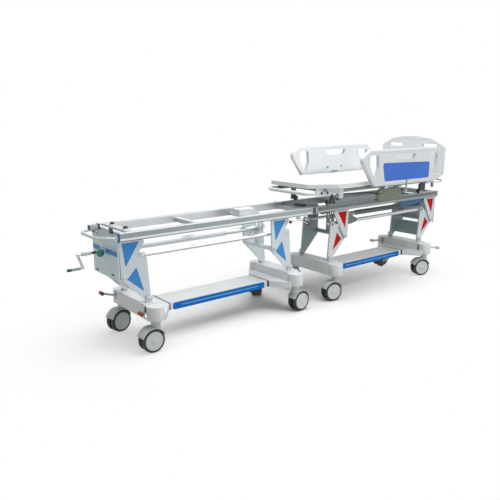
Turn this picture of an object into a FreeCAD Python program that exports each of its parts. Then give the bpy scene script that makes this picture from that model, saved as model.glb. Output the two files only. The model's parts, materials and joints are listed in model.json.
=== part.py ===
import FreeCAD, Part
import os
import re
import Sketcher
from FreeCAD import Placement, Rotation, Vector

# Docking patient-transfer stretcher: two four-castor trolleys joined end to end and one patient
# platform that rolls along the rails of both. X runs along the stretcher, the docking plane between
# the trolleys lies near the middle, Z is up from the floor. Every length is in millimetres.
# A trolley is drawn once, with X counted outward from the docking plane. Trolley B uses it as drawn
# and trolley A is its mirror image.

doc = FreeCAD.newDocument("docking_stretcher")
sheet = doc.addObject("Spreadsheet::Sheet", "Dims")

DIMENSIONS = [
    # making
    ("overcut", 1, "cutting tools beyond the faces that they cut"),
    ("overlap", 4, "welded pieces sunk into each other"),
    ("pin_proud", 2, "pins beyond the plates that they carry"),
    # lifting linkage
    ("pivot_outer_x", 1658, "base pivot of the outer levers"),
    ("pivot_inner_x", 261, "base pivot of the inner levers"),
    ("pivot_z", 382, "height of the base pivots"),
    ("arm_run", 190, "apex outward from the base pivot"),
    ("arm_rise", 193, "apex above the base pivot"),
    ("head_run", 165, "tie-rod pin inward from the apex"),
    ("head_rise", 127, "tie-rod pin above the apex"),
    ("lever_rim", 25, "radius of the lever corners"),
    ("lever_in_y", 170, "inner face of a lever plate"),
    ("lever_out_y", 186, "outer face of a lever plate"),
    ("torque_tube_r", 20, "tube that joins a pair of levers"),
    ("pivot_pin_r", 10, "pins at the apex and at the base"),
    ("head_pin_r", 9, "pins of the tie rods"),
    ("pin_clearance", 0.05, "radial clearance of a running pin"),
    ("open_pin_clearance", 0.5, "radial clearance of an open pivot"),
    ("inset_depth", 3, "depth of a coloured inset"),
    ("inset_rim", 4, "radius of the inset corners"),
    ("inset_apex_run", 36, "lever inset, apex corner inward from the apex"),
    ("inset_apex_drop", 27, "lever inset, apex corner below the apex"),
    ("inset_top_run", 105, "lever inset, upper corner inward from the apex"),
    ("inset_top_rise", 45, "lever inset, upper corner above the apex"),
    ("inset_base_run", 35, "lever inset, lower corner outward from the base pivot"),
    ("inset_base_rise", 65, "lever inset, lower corner above the base pivot"),
    ("web_thick", 6, "web plate between the outer levers"),
    ("web_offset", 14, "web plate below the line of pivots"),
    ("web_start", 50, "web plate from the base pivot"),
    ("web_length", 170, "length of the web plate"),
    ("rod_y", 152, "tie-rod centre line"),
    ("rod_r", 16, "tie-rod radius"),
    ("rod_eye_r", 20, "tie-rod eye radius"),
    ("rod_eye_half", 17, "half length of a tie-rod eye"),
    # hand screw
    ("screw_z", 735, "screw axis above the floor"),
    ("screw_r", 8, "screw radius"),
    ("screw_free_x", 661, "free end of the screw"),
    ("nut_tube_r", 20, "nut tube radius"),
    ("nut_tube_x", 820, "outer end of the nut tube"),
    ("nut_bore_x", 540, "bottom of the nut tube bore"),
    ("nut_pin_r", 8, "cross pin of the nut tube"),
    ("nut_pin_half", 38, "half length of the cross pin"),
    ("nut_tail", 22, "nut tube beyond its cross pin"),
    ("slot_arm_in_y", 24, "inner face of a slotted arm"),
    ("slot_arm_out_y", 34, "outer face of a slotted arm"),
    ("slot_low", 160, "lowest cross pin place above the apex"),
    ("slot_travel", 31, "length that the cross pin slides"),
    ("slot_play", 4, "play each side of the cross pin"),
    ("slot_wall", 10, "wall around the slot"),
    ("crank_elbow_x", 2096, "crank elbow"),
    ("crank_throw", 101, "grip below the screw axis"),
    ("crank_rake", 36, "grip end inward from the elbow"),
    ("crank_tube_r", 9, "crank arm radius"),
    ("elbow_swell", 2, "crank elbow beyond its tube"),
    ("grip_length", 90, "length of the crank grip"),
    ("grip_gap", 18, "grip from the foot of the crank arm"),
    ("grip_r", 10, "radius of the crank grip"),
    ("grip_pin_r", 6, "spindle of the crank grip"),
    ("screw_stub_x", 1925, "end of the second screw"),
    ("square_length", 40, "length of the square end"),
    ("square_half", 6, "half width of the square end"),
    ("grip_cap", 3, "closed end of the crank grip"),
    # rails and frame
    ("rail_end_x", 1878, "outer end of the rails"),
    ("dock_gap", 0.5, "gap between the rails at the dock"),
    ("rail_in_y", 195, "inner face of a rail"),
    ("rail_out_y", 235, "outer face of a rail"),
    ("rail_low_z", 834, "underside of the rails"),
    ("rail_top_z", 896, "top of the rails"),
    ("rail_wall", 4, "wall of the rail"),
    ("rail_groove_z", 854, "groove along the rail"),
    ("rail_groove", 2, "depth and half width of the groove"),
    ("bracket_rim", 22, "radius of the bracket corners"),
    ("bracket_back", 8, "outer top corner from the apex"),
    ("bracket_front", 142, "inner top corner from the apex"),
    ("bracket_inset_drop", 20, "bracket inset below the rail"),
    ("bracket_inset_back", 4, "bracket inset, outer corner outward from the apex"),
    ("bracket_inset_front", 120, "bracket inset, inner corner inward from the apex"),
    ("bracket_inset_foot", 15, "bracket inset, foot inward from the apex"),
    ("bracket_inset_rise", 80, "bracket inset, foot above the apex"),
    ("bracket_in_y", 188, "inner face of a leg bracket"),
    ("bracket_out_y", 206, "outer face of a leg bracket"),
    ("cross_lift", 2, "cross members above the underside of the rails"),
    ("cross_depth", 34, "height of a plain cross member"),
    ("cross_half", 20, "half width of a plain cross member"),
    ("cross_wide_half", 40, "half width of the cross member by the dock box"),
    ("cross_thin", 20, "height of the cross member by the dock box"),
    ("cross_stop_half", 28, "half width of the cross member under the stops"),
    ("cross_high", 14, "end cross members above the underside of the rails"),
    ("cross_end_x", 1856, "cross member at the end"),
    ("cross_stop_x", 1780, "cross member under the stops"),
    ("cross_mid_x", 1150, "cross member at mid span"),
    ("cross_box_x", 582, "cross member by the dock box"),
    ("cross_dock_x", 40, "cross member at the dock"),
    ("panel_gap", 1, "end panel from the rail ends"),
    ("panel_thick", 11, "end panel thickness"),
    ("panel_low_z", 548, "underside of the end panel"),
    ("panel_boss_r", 22, "screw bearing boss"),
    ("panel_boss", 14, "depth of the bearing boss"),
    ("panel_foot", 10, "width of an end panel spacer"),
    ("panel_foot_inset", 2, "spacer from the edge of the end panel"),
    ("panel_foot_drop", 10, "spacer below the rails"),
    ("panel_foot_height", 50, "height of a spacer"),
    ("bumper_x", 2006, "outermost run of the bumper tube"),
    ("bumper_y", 208, "bumper tube at the rails"),
    ("bumper_z", 860, "height of the bumper tube"),
    ("bumper_r", 11, "bumper tube radius"),
    ("bumper_bend", 125, "bend radius of the bumper tube"),
    ("stop_y", 107, "end stops from the middle"),
    ("stop_block_inset", 28, "stop block inward from the middle of its cross member"),
    ("stop_block_length", 40, "length of a stop block"),
    ("stop_block_half", 20, "half width of a stop block"),
    ("stop_block_height", 7, "stop block above the rails"),
    ("stop_button_r", 15, "radius of a stop button"),
    ("stop_button_height", 15, "stop button above its block"),
    ("collar_thick", 14, "thickness of a stop collar"),
    ("collar_half", 19, "half width of a stop collar"),
    ("collar_drop", 18, "stop collar below the top of the rails"),
    ("collar_rise", 22, "stop collar above the top of the rails"),
    ("stop_arm_length", 77, "stop arm beyond the end cross member"),
    ("stop_arm_half", 15, "half width of the stop arm"),
    ("stop_arm_drop", 16, "stop arm below the top of the rails"),
    ("stop_arm_rise", 18, "stop arm above the top of the rails"),
    ("dock_box_in", 86, "dock box inward from its cross member"),
    ("dock_box_out", 85, "dock box outward from its cross member"),
    ("dock_box_width", 100, "width of the dock box"),
    ("dock_box_height", 50, "height of the dock box"),
    ("dock_pin_r", 12, "docking pin radius"),
    ("dock_pin_reach", 60, "docking pin beyond the dock plane"),
    ("dock_pin_root", 80, "docking pin inside its own rail"),
    # base
    ("lug_outer_set", 8, "outer beam and castor stems inboard of the outer base pivots"),
    ("lug_inner_set", 6, "inner beam and castor stems inboard of the inner base pivots"),
    ("castor_y", 271, "castor stems from the middle"),
    ("beam_half", 66, "half width of a beam cover"),
    ("beam_y", 235, "beam cover between the lobes"),
    ("beam_low_z", 240, "underside of a beam cover"),
    ("beam_top_z", 352, "top of a beam cover"),
    ("lobe_low_z", 238, "underside of a castor lobe"),
    ("lobe_top_z", 343, "top of a castor lobe"),
    ("cover_wall", 5, "wall of the plastic covers"),
    ("cover_gap", 1.5, "covers clear of the steel frame"),
    ("seat_gap", 0.3, "cover ceilings above what they rest on"),
    ("tube_half", 25, "half width of the cross tubes"),
    ("tube_low_z", 262, "underside of the cross tubes"),
    ("tube_top_z", 322, "top of the cross tubes"),
    ("spine_half", 30, "half width of the spine tube"),
    ("spine_low_z", 236, "underside of the spine tube"),
    ("socket_r", 24, "castor socket radius"),
    ("socket_low_z", 242, "underside of the castor sockets"),
    ("lug_half", 25, "half width of a pivot lug"),
    ("lug_root", 20, "pivot lug below the top of its cross tube"),
    ("stem_room", 2, "room above a castor stem"),
    ("notch_room", 10, "cover notch below the spine tube"),
    ("shelf_half", 120, "half width of the shelf"),
    ("shelf_low_z", 222, "underside of the shelf"),
    ("shelf_top_z", 278, "top of the shelf"),
    ("shelf_gap", 0.5, "shelf from the beam covers"),
    ("flare_half", 290, "half width where the shelf meets a beam"),
    ("flare_land", 14, "straight part of the flare"),
    ("flare_run", 136, "length of the flare"),
    ("flare_fillet", 70, "hollow of the flare"),
    # brake bars
    ("brake_set", 42, "brake shaft outboard of the outer beam"),
    ("brake_z", 300, "height of the brake shaft"),
    ("brake_r", 8, "brake shaft radius"),
    ("brake_half", 255, "half length of the brake shaft"),
    ("brake_support_y", 100, "brake shaft supports"),
    ("brake_support_thick", 8, "thickness of a brake shaft support"),
    ("brake_support_half", 16, "half height of a brake shaft support"),
    ("brake_support_nose", 14, "brake shaft support beyond the shaft"),
    ("pedal_y", 240, "pedals from the middle"),
    ("pedal_half", 11, "half width of a pedal"),
    ("pedal_thick", 12, "thickness of a pedal"),
    ("pedal_foot", 14, "radius of a pedal foot"),
    ("pedal_foot_proud", 8, "pedal foot beyond the sides of its bar"),
    ("pedal_slot_low_z", 246, "lower end of a pedal slot"),
    ("pedal_slot_top_z", 334, "upper end of a pedal slot"),
    ("pedal_up_reach", 140, "raised outward pedal"),
    ("pedal_up_rise", 44, "rise of the raised pedal"),
    ("pedal_short_reach", 60, "short outward pedal"),
    ("pedal_down_reach", 254, "lowered outward pedal"),
    ("pedal_down_drop", 50, "drop of the lowered pedal"),
    ("pedal_back_reach", 290, "inward pedal"),
    ("pedal_back_rise", 26, "rise of the inward pedal"),
    ("pedal_saddle_z", 284, "floor of the saddle under the inward pedal"),
    # fifth wheels
    ("fifth_pivot_a_x", 700, "fifth wheel pivot of trolley A"),
    ("fifth_pivot_b_x", 1475, "fifth wheel pivot of trolley B"),
    ("fifth_pivot_z", 200, "height of the fifth wheel pivots"),
    ("fifth_reach", 200, "fifth wheel axle from its pivot"),
    ("fifth_small_r", 38, "small fifth wheels"),
    ("fifth_small_drop", 24, "small fifth wheel axle below its pivot"),
    ("fifth_large_r", 60, "large fifth wheel"),
    ("fifth_large_drop", 41, "large fifth wheel axle below its pivot"),
    ("fifth_wheel_width", 24, "width of a small fifth wheel"),
    ("fifth_wheel_y", 35, "inner face of a small fifth wheel"),
    ("fifth_bar", 12, "half section of the fifth wheel arm"),
    ("fifth_lug_in_y", 22, "inner face of a fifth wheel lug"),
    ("fifth_lug_out_y", 30, "outer face of a fifth wheel lug"),
    ("fifth_lug_low", 10, "fifth wheel lug below its pivot"),
    ("fifth_axle_end", 2, "fifth wheel axle beyond its wheels"),
    ("fork_thick", 7, "thickness of a side of the forked arm"),
    ("fifth_pin_r", 8, "fifth wheel pivot pin"),
    ("fifth_barrel_r", 15, "fifth wheel pivot barrel"),
    ("fifth_axle_r", 6, "fifth wheel axle"),
    ("side_play", 2, "side play of hinges and wheels"),
    # castors
    ("wheel_r", 90, "castor wheel radius"),
    ("wheel_width", 35, "width of one of the twin wheels"),
    ("web_half", 8, "half thickness of the castor web"),
    ("wheel_round", 9, "rounding of the tyre shoulders"),
    ("trail", 40, "castor trail"),
    ("hood_r", 98, "outer radius of the castor hood"),
    ("hood_gap", 3, "hood clear of the wheels"),
    ("hood_rise", 34, "hood edge above the axle"),
    ("neck_r", 36, "castor neck radius"),
    ("neck_low_z", 160, "underside of the castor neck"),
    ("neck_top_z", 236, "top of the castor neck"),
    ("stem_r", 14, "castor stem radius"),
    ("stem_top_z", 290, "top of the castor stem"),
    ("castor_axle_r", 6, "castor axle radius"),
    ("castor_boss_r", 22, "boss around the castor axle"),
    ("castor_axle_inset", 3, "castor axle short of the hood"),
    # patient platform
    ("tube_y", 270, "platform side tubes"),
    ("tube_z", 1025, "height of the side tubes"),
    ("tube_r", 16, "side tube radius"),
    ("tube_bend", 70, "bend radius of the side tubes"),
    ("tube_left_x", -130, "left bend of the side tubes"),
    ("tube_right_x", 1700, "right end of the side tubes"),
    ("bar_half", 20, "half width of the platform cross bars"),
    ("bar_low_z", 1032, "underside of the cross bars"),
    ("bar_y", 300, "half length of the cross bars"),
    ("bar_first_x", 60, "first cross bar"),
    ("bar_last_x", 1640, "last cross bar"),
    ("roller_left_x", 183, "left rollers"),
    ("roller_right_x", 1560, "right rollers"),
    ("roller_r", 21.7, "roller radius"),
    ("roller_in_y", 200, "inner face of a roller"),
    ("roller_out_y", 230, "outer face of a roller"),
    ("roller_pin_r", 8, "roller axle radius"),
    ("rolling_gap", 0.3, "roller above the rail"),
    ("hanger_in_y", 240, "inner face of a roller hanger"),
    ("hanger_thick", 8, "roller hanger thickness"),
    ("hanger_half", 32, "half width of a roller hanger"),
    ("hanger_low", 14, "roller hanger below its axle"),
    ("axle_proud", 3, "roller axle beyond the roller"),
    ("ledge_half", 8, "half height of the ledges welded to the side tubes"),
    ("deck_left_x", -115, "left end of the deck"),
    ("deck_low_z", 1067, "underside of the deck"),
    ("deck_thick", 38, "deck thickness"),
    ("deck_half", 397, "half width of the deck"),
    ("deck_tip_half", 266, "half width of the deck tip"),
    ("deck_tip_run", 200, "length over which the tip widens"),
    ("deck_corner", 60, "deck corner radius"),
    ("hinge_x", 860, "backrest hinge"),
    ("hinge_side", 9, "deck edges from the hinge"),
    ("hinge_barrel_r", 6, "hinge barrel radius"),
    ("hinge_pin_r", 3, "hinge pin radius"),
    ("hinge_y", 275, "hinge knuckles from the middle"),
    ("hinge_knuckle", 22, "length of a hinge knuckle"),
    ("hinge_lug", 12, "thickness of a hinge lug"),
    ("hinge_lug_half", 5, "half width of a hinge lug"),
    ("hinge_lug_root", 5, "hinge lug sunk into its cross bar"),
    ("hinge_lug_gap", 1, "hinge lug from its knuckle"),
    ("back_right_x", 1686, "right end of the backrest"),
    ("back_corner", 30, "backrest corner radius"),
    # side rails
    ("side_gap", 35, "side rail from the edge of the deck"),
    ("side_thick", 36, "thickness of a side rail"),
    ("side_hinge_z", 1041, "side rail hinge axis"),
    ("side_hinge_a_x", 700, "left side rail hinge"),
    ("side_hinge_b_x", 1350, "right side rail hinge"),
    ("side_barrel_r", 12, "side rail hinge barrel"),
    ("side_pin_r", 6, "side rail hinge pin"),
    ("side_knuckle", 20, "half length of a side rail knuckle"),
    ("side_leaf_half", 7, "half thickness of a side rail leaf"),
    ("side_leaf_rise", 60, "side rail leaf above its hinge"),
    ("prong_thick", 10, "thickness of a side rail prong"),
    ("prong_half", 9, "half height of a side rail prong"),
    ("side_rim", 45, "corner radius of a side rail"),
    ("side_hole_rim", 14, "corner radius of the side rail openings"),
    ("side_panel_rim", 26, "corner radius of the side rail panel"),
    ("side_panel_depth", 2, "recess of the side rail panel"),
    # headboard
    ("head_x", 1712, "middle of the headboard"),
    ("head_thick", 30, "thickness of the headboard"),
    ("head_half", 388, "half width of the headboard"),
    ("head_low_z", 1078, "underside of the headboard"),
    ("head_top_z", 1476, "top of the headboard"),
    ("head_shoulder_drop", 76, "headboard shoulder below its top"),
    ("head_arch_drop", 18, "headboard arch below its top"),
    ("head_arch_y", 230, "outer corner of the headboard arch"),
    ("head_crown_y", 104, "half width of the flat crown"),
    ("head_rim", 40, "corner radius of the headboard"),
    ("head_slot_in_y", 140, "inner end of a grip slot"),
    ("head_slot_out_y", 290, "outer end of a grip slot"),
    ("head_slot_drop", 91, "grip slots below the top"),
    ("head_slot_r", 16, "half height of the grip slots"),
    ("post_r", 11, "headboard post radius"),
    ("post_low_z", 960, "foot of the headboard posts"),
    ("socket_wall", 5, "wall of the headboard sockets"),
    ("socket_low", 954, "underside of the headboard sockets"),
    ("socket_high", 1056, "top of the headboard sockets"),
    ("socket_floor", 4, "floor of the headboard sockets"),
    ("socket_root", 20, "socket link along its side tube"),
    ("post_root", 30, "headboard post inside the board"),
    # dock release and cover
    ("latch_x", 195, "dock release pivot"),
    ("latch_z", 812, "height of the dock release pivot"),
    ("latch_pin_r", 6, "dock release pivot pin"),
    ("latch_boss_r", 13, "dock release boss"),
    ("latch_in_y", 236, "inner face of the dock release"),
    ("latch_out_y", 246, "outer face of the dock release"),
    ("latch_arm", 5, "radius of the dock release arms"),
    ("latch_knob_r", 13, "dock release knobs"),
    ("latch_long_run", 106, "long arm of the dock release"),
    ("latch_long_drop", 14, "drop of the long arm"),
    ("latch_short_run", 111, "short arm of the dock release"),
    ("latch_short_drop", 57, "drop of the short arm"),
    ("latch_lug_half", 20, "half width of the dock release lug"),
    ("latch_lug_thick", 12, "thickness of the dock release lug"),
    ("skirt_left_x", 880, "left centre of the oval cover"),
    ("skirt_right_x", 1130, "right centre of the oval cover"),
    ("skirt_drop", 130, "middle of the oval cover below the deck"),
    ("skirt_r", 64, "half height of the oval cover"),
    ("skirt_thick", 9, "oval cover thickness"),
    ("skirt_gap", 0.4, "oval cover from its hangers"),
    ("skirt_hanger_half", 20, "half width of an oval cover hanger"),
    ("skirt_hanger_low", 40, "oval cover hanger below the middle of the cover"),
]

# corners of the side rail and its openings: along from the left hinge, and up from the hinge axis,
# of the centres of their rounded corners
SIDE_OUTLINES = {
    "board": [(-250, 299), (755, 299), (805, 249), (770, 74), (730, 59), (-170, 64), (-312, 254)],
    "left_gap": [(-248, 284), (-152, 284), (-144, 184), (-180, 99), (-248, 221)],
    "grip": [(122, 289), (400, 289), (378, 257), (154, 261)],
    "right_gap": [(642, 281), (768, 271), (746, 91), (670, 209)],
    "panel": [(-50, 199), (618, 185), (618, 79), (-24, 83)],
}
for outline, corners in SIDE_OUTLINES.items():
    for number, (along, up) in enumerate(corners, start=1):
        DIMENSIONS.append((f"{outline}{number}_x", along, f"side rail {outline}, corner {number}"))
        DIMENSIONS.append((f"{outline}{number}_z", up, f"side rail {outline}, corner {number}"))

for row, (alias, value, note) in enumerate(DIMENSIONS, start=1):
    sheet.set(f"A{row}", alias)
    sheet.set(f"B{row}", str(value))
    sheet.set(f"C{row}", note)
    sheet.setAlias(f"B{row}", alias)
doc.recompute()

# lengths worked out from the sheet, used in many places
BEAM_OUTER = "(pivot_outer_x - lug_outer_set)"
BEAM_INNER = "(pivot_inner_x - lug_inner_set)"
BRAKE_X = f"({BEAM_OUTER} + brake_set)"
APEX_OUTER = "(pivot_outer_x + arm_run)"
APEX_INNER = "(pivot_inner_x + arm_run)"
APEX_Z = "(pivot_z + arm_rise)"
HEAD_Z = f"({APEX_Z} + head_rise)"
AXLE_Z = "wheel_r"
ROLLER_Z = "(rail_top_z + roller_r + rolling_gap)"
DECK_TOP = "(deck_low_z + deck_thick)"
HINGE_Z = f"({DECK_TOP} - hinge_barrel_r)"
CRANK_TIP = "(crank_elbow_x - crank_rake + grip_gap + grip_length)"
PEDAL_TIP = f"({BRAKE_X} + pedal_down_reach + pedal_foot)"
CENTRE_SHIFT = f"({CRANK_TIP} - {PEDAL_TIP}) / 2"
BRACKET_TOP = "(rail_low_z - bracket_rim)"
SPINE_TOP = "(shelf_top_z - cover_wall - seat_gap)"
SIDE_Y = "(deck_half + side_gap + side_thick / 2)"
HEAD_SLOT_Z = "(head_top_z - head_slot_drop)"
SKIRT_Z = "(deck_low_z - skirt_drop)"
HANGER_OUT = "(hanger_in_y + hanger_thick)"


def bound(text):
    """Turn an expression in sheet names into one that FreeCAD reads."""
    return re.sub(r"\b([a-z][a-z0-9_]*)\b(?!\()", r"Dims.\1", str(text))


def bind(obj, **formulas):
    """Bind properties; a double underscore stands for a dot in the property path."""
    for path, formula in formulas.items():
        obj.setExpression(path.replace("__", "."), bound(formula))
    return obj


def seat(obj, x="0", y="0", z="0"):
    return bind(obj, Placement__Base__x=x, Placement__Base__y=y, Placement__Base__z=z)


# ---- solids ----------------------------------------------------------------------------------

def box(x0, x1, y0, y1, z0, z1):
    obj = doc.addObject("Part::Box", "block")
    bind(obj, Length=f"({x1}) - ({x0})", Width=f"({y1}) - ({y0})", Height=f"({z1}) - ({z0})")
    return seat(obj, x0, y0, z0)


AXIS_TURN = {
    "x": Rotation(Vector(0, 1, 0), 90),
    "y": Rotation(Vector(1, 0, 0), -90),
    "z": Rotation(),
}


def rod(axis, across, up, start, end, radius):
    """Round bar along an axis: across and up place it, start and end lie along the axis."""
    obj = doc.addObject("Part::Cylinder", "bar")
    obj.Placement = Placement(Vector(), AXIS_TURN[axis])
    bind(obj, Radius=radius, Height=f"({end}) - ({start})")
    place = {"x": (start, across, up), "y": (across, start, up), "z": (across, up, start)}
    return seat(obj, *place[axis])


def elbow(x, y, z, bend, radius, quarter):
    """Quarter bend lying flat; quarter counts 90 degree turns from the +X +Y quadrant."""
    obj = doc.addObject("Part::Torus", "bend")
    obj.Angle3 = 90
    obj.Placement = Placement(Vector(), Rotation(Vector(0, 0, 1), 90 * quarter))
    bind(obj, Radius1=bend, Radius2=radius)
    return seat(obj, x, y, z)


def ball(x, y, z, radius):
    return seat(bind(doc.addObject("Part::Sphere", "ball"), Radius=radius), x, y, z)


def fuse(*pieces):
    obj = doc.addObject("Part::MultiFuse", "joined")
    obj.Shapes = list(pieces)
    return obj


def cut(base, *tools):
    obj = doc.addObject("Part::Cut", "cut")
    obj.Base = base
    obj.Tool = tools[0] if len(tools) == 1 else fuse(*tools)
    return obj


def common(base, tool):
    obj = doc.addObject("Part::Common", "shared")
    obj.Base = base
    obj.Tool = tool
    return obj


def flipped(piece, normal):
    """Mirror image through the origin; normal is the direction that is reversed."""
    obj = doc.addObject("Part::Mirroring", "mirror")
    obj.Source = piece
    obj.Normal = Vector(*normal)
    return obj


def both_sides(piece):
    """The piece and its mirror image on the other side of the stretcher."""
    return [piece, flipped(piece, (0, 1, 0))]


def turned(piece, axis, angle, x="0", y="0", z="0"):
    """The piece turned about an axis through its origin, then carried to a place."""
    obj = doc.addObject("Part::Compound", "turned")
    obj.Links = [piece]
    obj.Placement = Placement(Vector(), Rotation(Vector(*axis), 1))
    bind(obj, Placement__Rotation__Angle=angle)
    return seat(obj, x, y, z)


def group(*pieces):
    obj = doc.addObject("Part::Compound", "group")
    obj.Links = list(pieces)
    return obj


# ---- outlines --------------------------------------------------------------------------------

OUTLINE_TURN = {
    "y": Rotation(Vector(1, 0, 0), 90),
    "x": Rotation(Vector(0.57735, 0.57735, 0.57735), 120),
    "z": Rotation(),
}
OUTLINE_WAY = {"x": Vector(1, 0, 0), "y": Vector(0, 1, 0), "z": Vector(0, 0, 1)}


def draw_polygon(sketch, points):
    """Closed polygon whose every corner is held by two bound distances from the origin."""
    probe = doc.addObject("App::FeaturePython", "probe")
    probe.addProperty("App::PropertyFloat", "across")
    probe.addProperty("App::PropertyFloat", "up")
    places = []
    for across, up in points:
        bind(probe, across=across, up=up)
        probe.recompute()
        places.append(Vector(probe.across, probe.up, 0))
    doc.removeObject(probe.Name)
    count = len(places)
    for index in range(count):
        sketch.addGeometry(Part.LineSegment(places[index], places[(index + 1) % count]))
    for index in range(count):
        sketch.addConstraint(Sketcher.Constraint("Coincident", index, 2, (index + 1) % count, 1))
    for index, (across, up) in enumerate(points):
        for kind, size, formula in (("DistanceX", places[index].x, across),
                                    ("DistanceY", places[index].y, up)):
            number = sketch.addConstraint(Sketcher.Constraint(kind, -1, 1, index, 1, size))
            sketch.setExpression(f"Constraints[{number}]", bound(formula))


def slab(axis, points, start, end, rim=None):
    """Plate across an axis; a rim grows the outline all round."""
    sketch = doc.addObject("Sketcher::SketchObject", "outline")
    sketch.Placement = Placement(Vector(), OUTLINE_TURN[axis])
    draw_polygon(sketch, points)
    outline = sketch
    if rim:
        outline = doc.addObject("Part::Offset2D", "rim")
        outline.Source = sketch
        outline.Join = "Arc"
        bind(outline, Value=rim)
    obj = doc.addObject("Part::Extrusion", "plate")
    obj.Base = outline
    obj.DirMode = "Custom"
    obj.Dir = OUTLINE_WAY[axis]
    obj.Solid = True
    bind(obj, LengthFwd=f"({end}) - ({start})")
    place = {axis: start}
    return seat(obj, **place)


# ---- nodes -----------------------------------------------------------------------------------

nodes = []


def node(label, piece):
    """Name a finished piece and centre it on the origin of the whole stretcher."""
    piece.Label = label
    bind(piece, Placement__Base__x=CENTRE_SHIFT)
    nodes.append(piece)
    return piece


def trolley_node(name, side, piece):
    """Finished piece of a trolley: side b as drawn, side a as its mirror image."""
    placed = group(piece) if side == "b" else flipped(piece, (1, 0, 0))
    return node(f"{name}_{side}", placed)


# ---- levers, brackets and tie rods -------------------------------------------------------------

def lever_plate(apex_x, head_clearance, base_clearance):
    """Three-cornered lever: apex, tie-rod corner and base corner, with a sunk inset."""
    base_x = f"({apex_x} - arm_run)"
    head_x = f"({apex_x} - head_run)"
    corners = [(apex_x, APEX_Z), (head_x, HEAD_Z), (base_x, "pivot_z")]
    plate = slab("y", corners, "lever_in_y", "lever_out_y", "lever_rim")
    inset_corners = [(f"{apex_x} - inset_apex_run", f"{APEX_Z} - inset_apex_drop"),
                     (f"{apex_x} - inset_top_run", f"{APEX_Z} + inset_top_rise"),
                     (f"{base_x} + inset_base_run", "pivot_z + inset_base_rise")]
    inset = slab("y", inset_corners, "lever_out_y - inset_depth", "lever_out_y + inset_depth",
                 "inset_rim")
    head_hole = rod("y", head_x, HEAD_Z, "lever_in_y - overcut", "lever_out_y + overcut",
                    f"head_pin_r + {head_clearance}")
    base_hole = rod("y", base_x, "pivot_z", "lever_in_y - overcut", "lever_out_y + overcut",
                    f"pivot_pin_r + {base_clearance}")
    return cut(plate, inset, head_hole, base_hole)


def lever_pair(apex_x, head_clearance, base_clearance, extras):
    plates = both_sides(lever_plate(apex_x, head_clearance, base_clearance))
    tube = rod("y", apex_x, APEX_Z, "0 - lever_out_y", "lever_out_y", "torque_tube_r")
    bore = rod("y", apex_x, APEX_Z, "0 - lever_out_y - overcut", "lever_out_y + overcut",
               "pivot_pin_r + pin_clearance")
    return cut(fuse(*plates, tube, *extras), bore)


def lever_web():
    """Plate that stiffens the outer levers, just below the line from base pivot to apex."""
    plate = box("web_start", "web_start + web_length", "0 - lever_in_y - overlap", "lever_in_y + overlap",
                "0 - web_offset", "0 - web_offset + web_thick")
    return turned(plate, (0, 1, 0), "atan2(0 - arm_rise; arm_run)", "pivot_outer_x", "0", "pivot_z")


def slotted_arm():
    """Arm on the inner torque tube; the cross pin of the nut tube slides in its slot."""
    low_z = f"({APEX_Z} + slot_low)"
    high_z = f"({low_z} + slot_travel)"
    reach = "(nut_pin_r + slot_play)"
    blade = box(f"{APEX_INNER} - {reach} - slot_wall", f"{APEX_INNER} + {reach} + slot_wall",
                "slot_arm_in_y", "slot_arm_out_y", APEX_Z, f"{high_z} + {reach} + slot_wall")
    slot = box(f"{APEX_INNER} - {reach}", f"{APEX_INNER} + {reach}",
               "slot_arm_in_y - overcut", "slot_arm_out_y + overcut", f"{low_z} - {reach}",
               f"{high_z} + {reach}")
    return cut(blade, slot)


def outer_levers(side):
    pair = lever_pair(APEX_OUTER, "pin_clearance", "pin_clearance", [lever_web()])
    trolley_node("outer_levers", side, pair)


def inner_levers(side):
    pair = lever_pair(APEX_INNER, "open_pin_clearance", "open_pin_clearance",
                      both_sides(slotted_arm()))
    trolley_node("inner_levers", side, pair)


def tie_rod():
    outer_x = f"({APEX_OUTER} - head_run)"
    inner_x = f"({APEX_INNER} - head_run)"
    bar = rod("x", "rod_y", HEAD_Z, inner_x, outer_x, "rod_r")
    parts = [bar]
    for eye_x in (inner_x, outer_x):
        parts.append(rod("y", eye_x, HEAD_Z, "rod_y - rod_eye_half", "rod_y + rod_eye_half",
                         "rod_eye_r"))
        parts.append(rod("y", eye_x, HEAD_Z, "rod_y", "lever_out_y", "head_pin_r"))
    return fuse(*parts)


def tie_rods(side):
    trolley_node("tie_rods", side, group(*both_sides(tie_rod())))


def leg_bracket(apex_x):
    """Three-cornered bracket under a rail, with the apex pin that carries a lever."""
    corners = [(apex_x, APEX_Z), (f"{apex_x} + bracket_back", BRACKET_TOP),
               (f"{apex_x} - bracket_front", BRACKET_TOP)]
    plate = slab("y", corners, "bracket_in_y", "bracket_out_y", "bracket_rim")
    inset_top = "rail_low_z - bracket_inset_drop"
    inset_corners = [(f"{apex_x} - bracket_inset_foot", f"{APEX_Z} + bracket_inset_rise"),
                     (f"{apex_x} + bracket_inset_back", inset_top),
                     (f"{apex_x} - bracket_inset_front", inset_top)]
    inset = slab("y", inset_corners, "bracket_out_y - inset_depth", "bracket_out_y + inset_depth",
                 "inset_rim")
    pin = rod("y", apex_x, APEX_Z, "lever_in_y - rod_r", "bracket_out_y", "pivot_pin_r")
    return fuse(cut(plate, inset), pin)


def leg_brackets(side):
    brackets = both_sides(leg_bracket(APEX_OUTER)) + both_sides(leg_bracket(APEX_INNER))
    trolley_node("leg_brackets", side, group(*brackets))


# ---- hand screws -------------------------------------------------------------------------------

def screw_shaft(outer_x):
    return rod("x", "0", "screw_z", "screw_free_x", outer_x, "screw_r")


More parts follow.
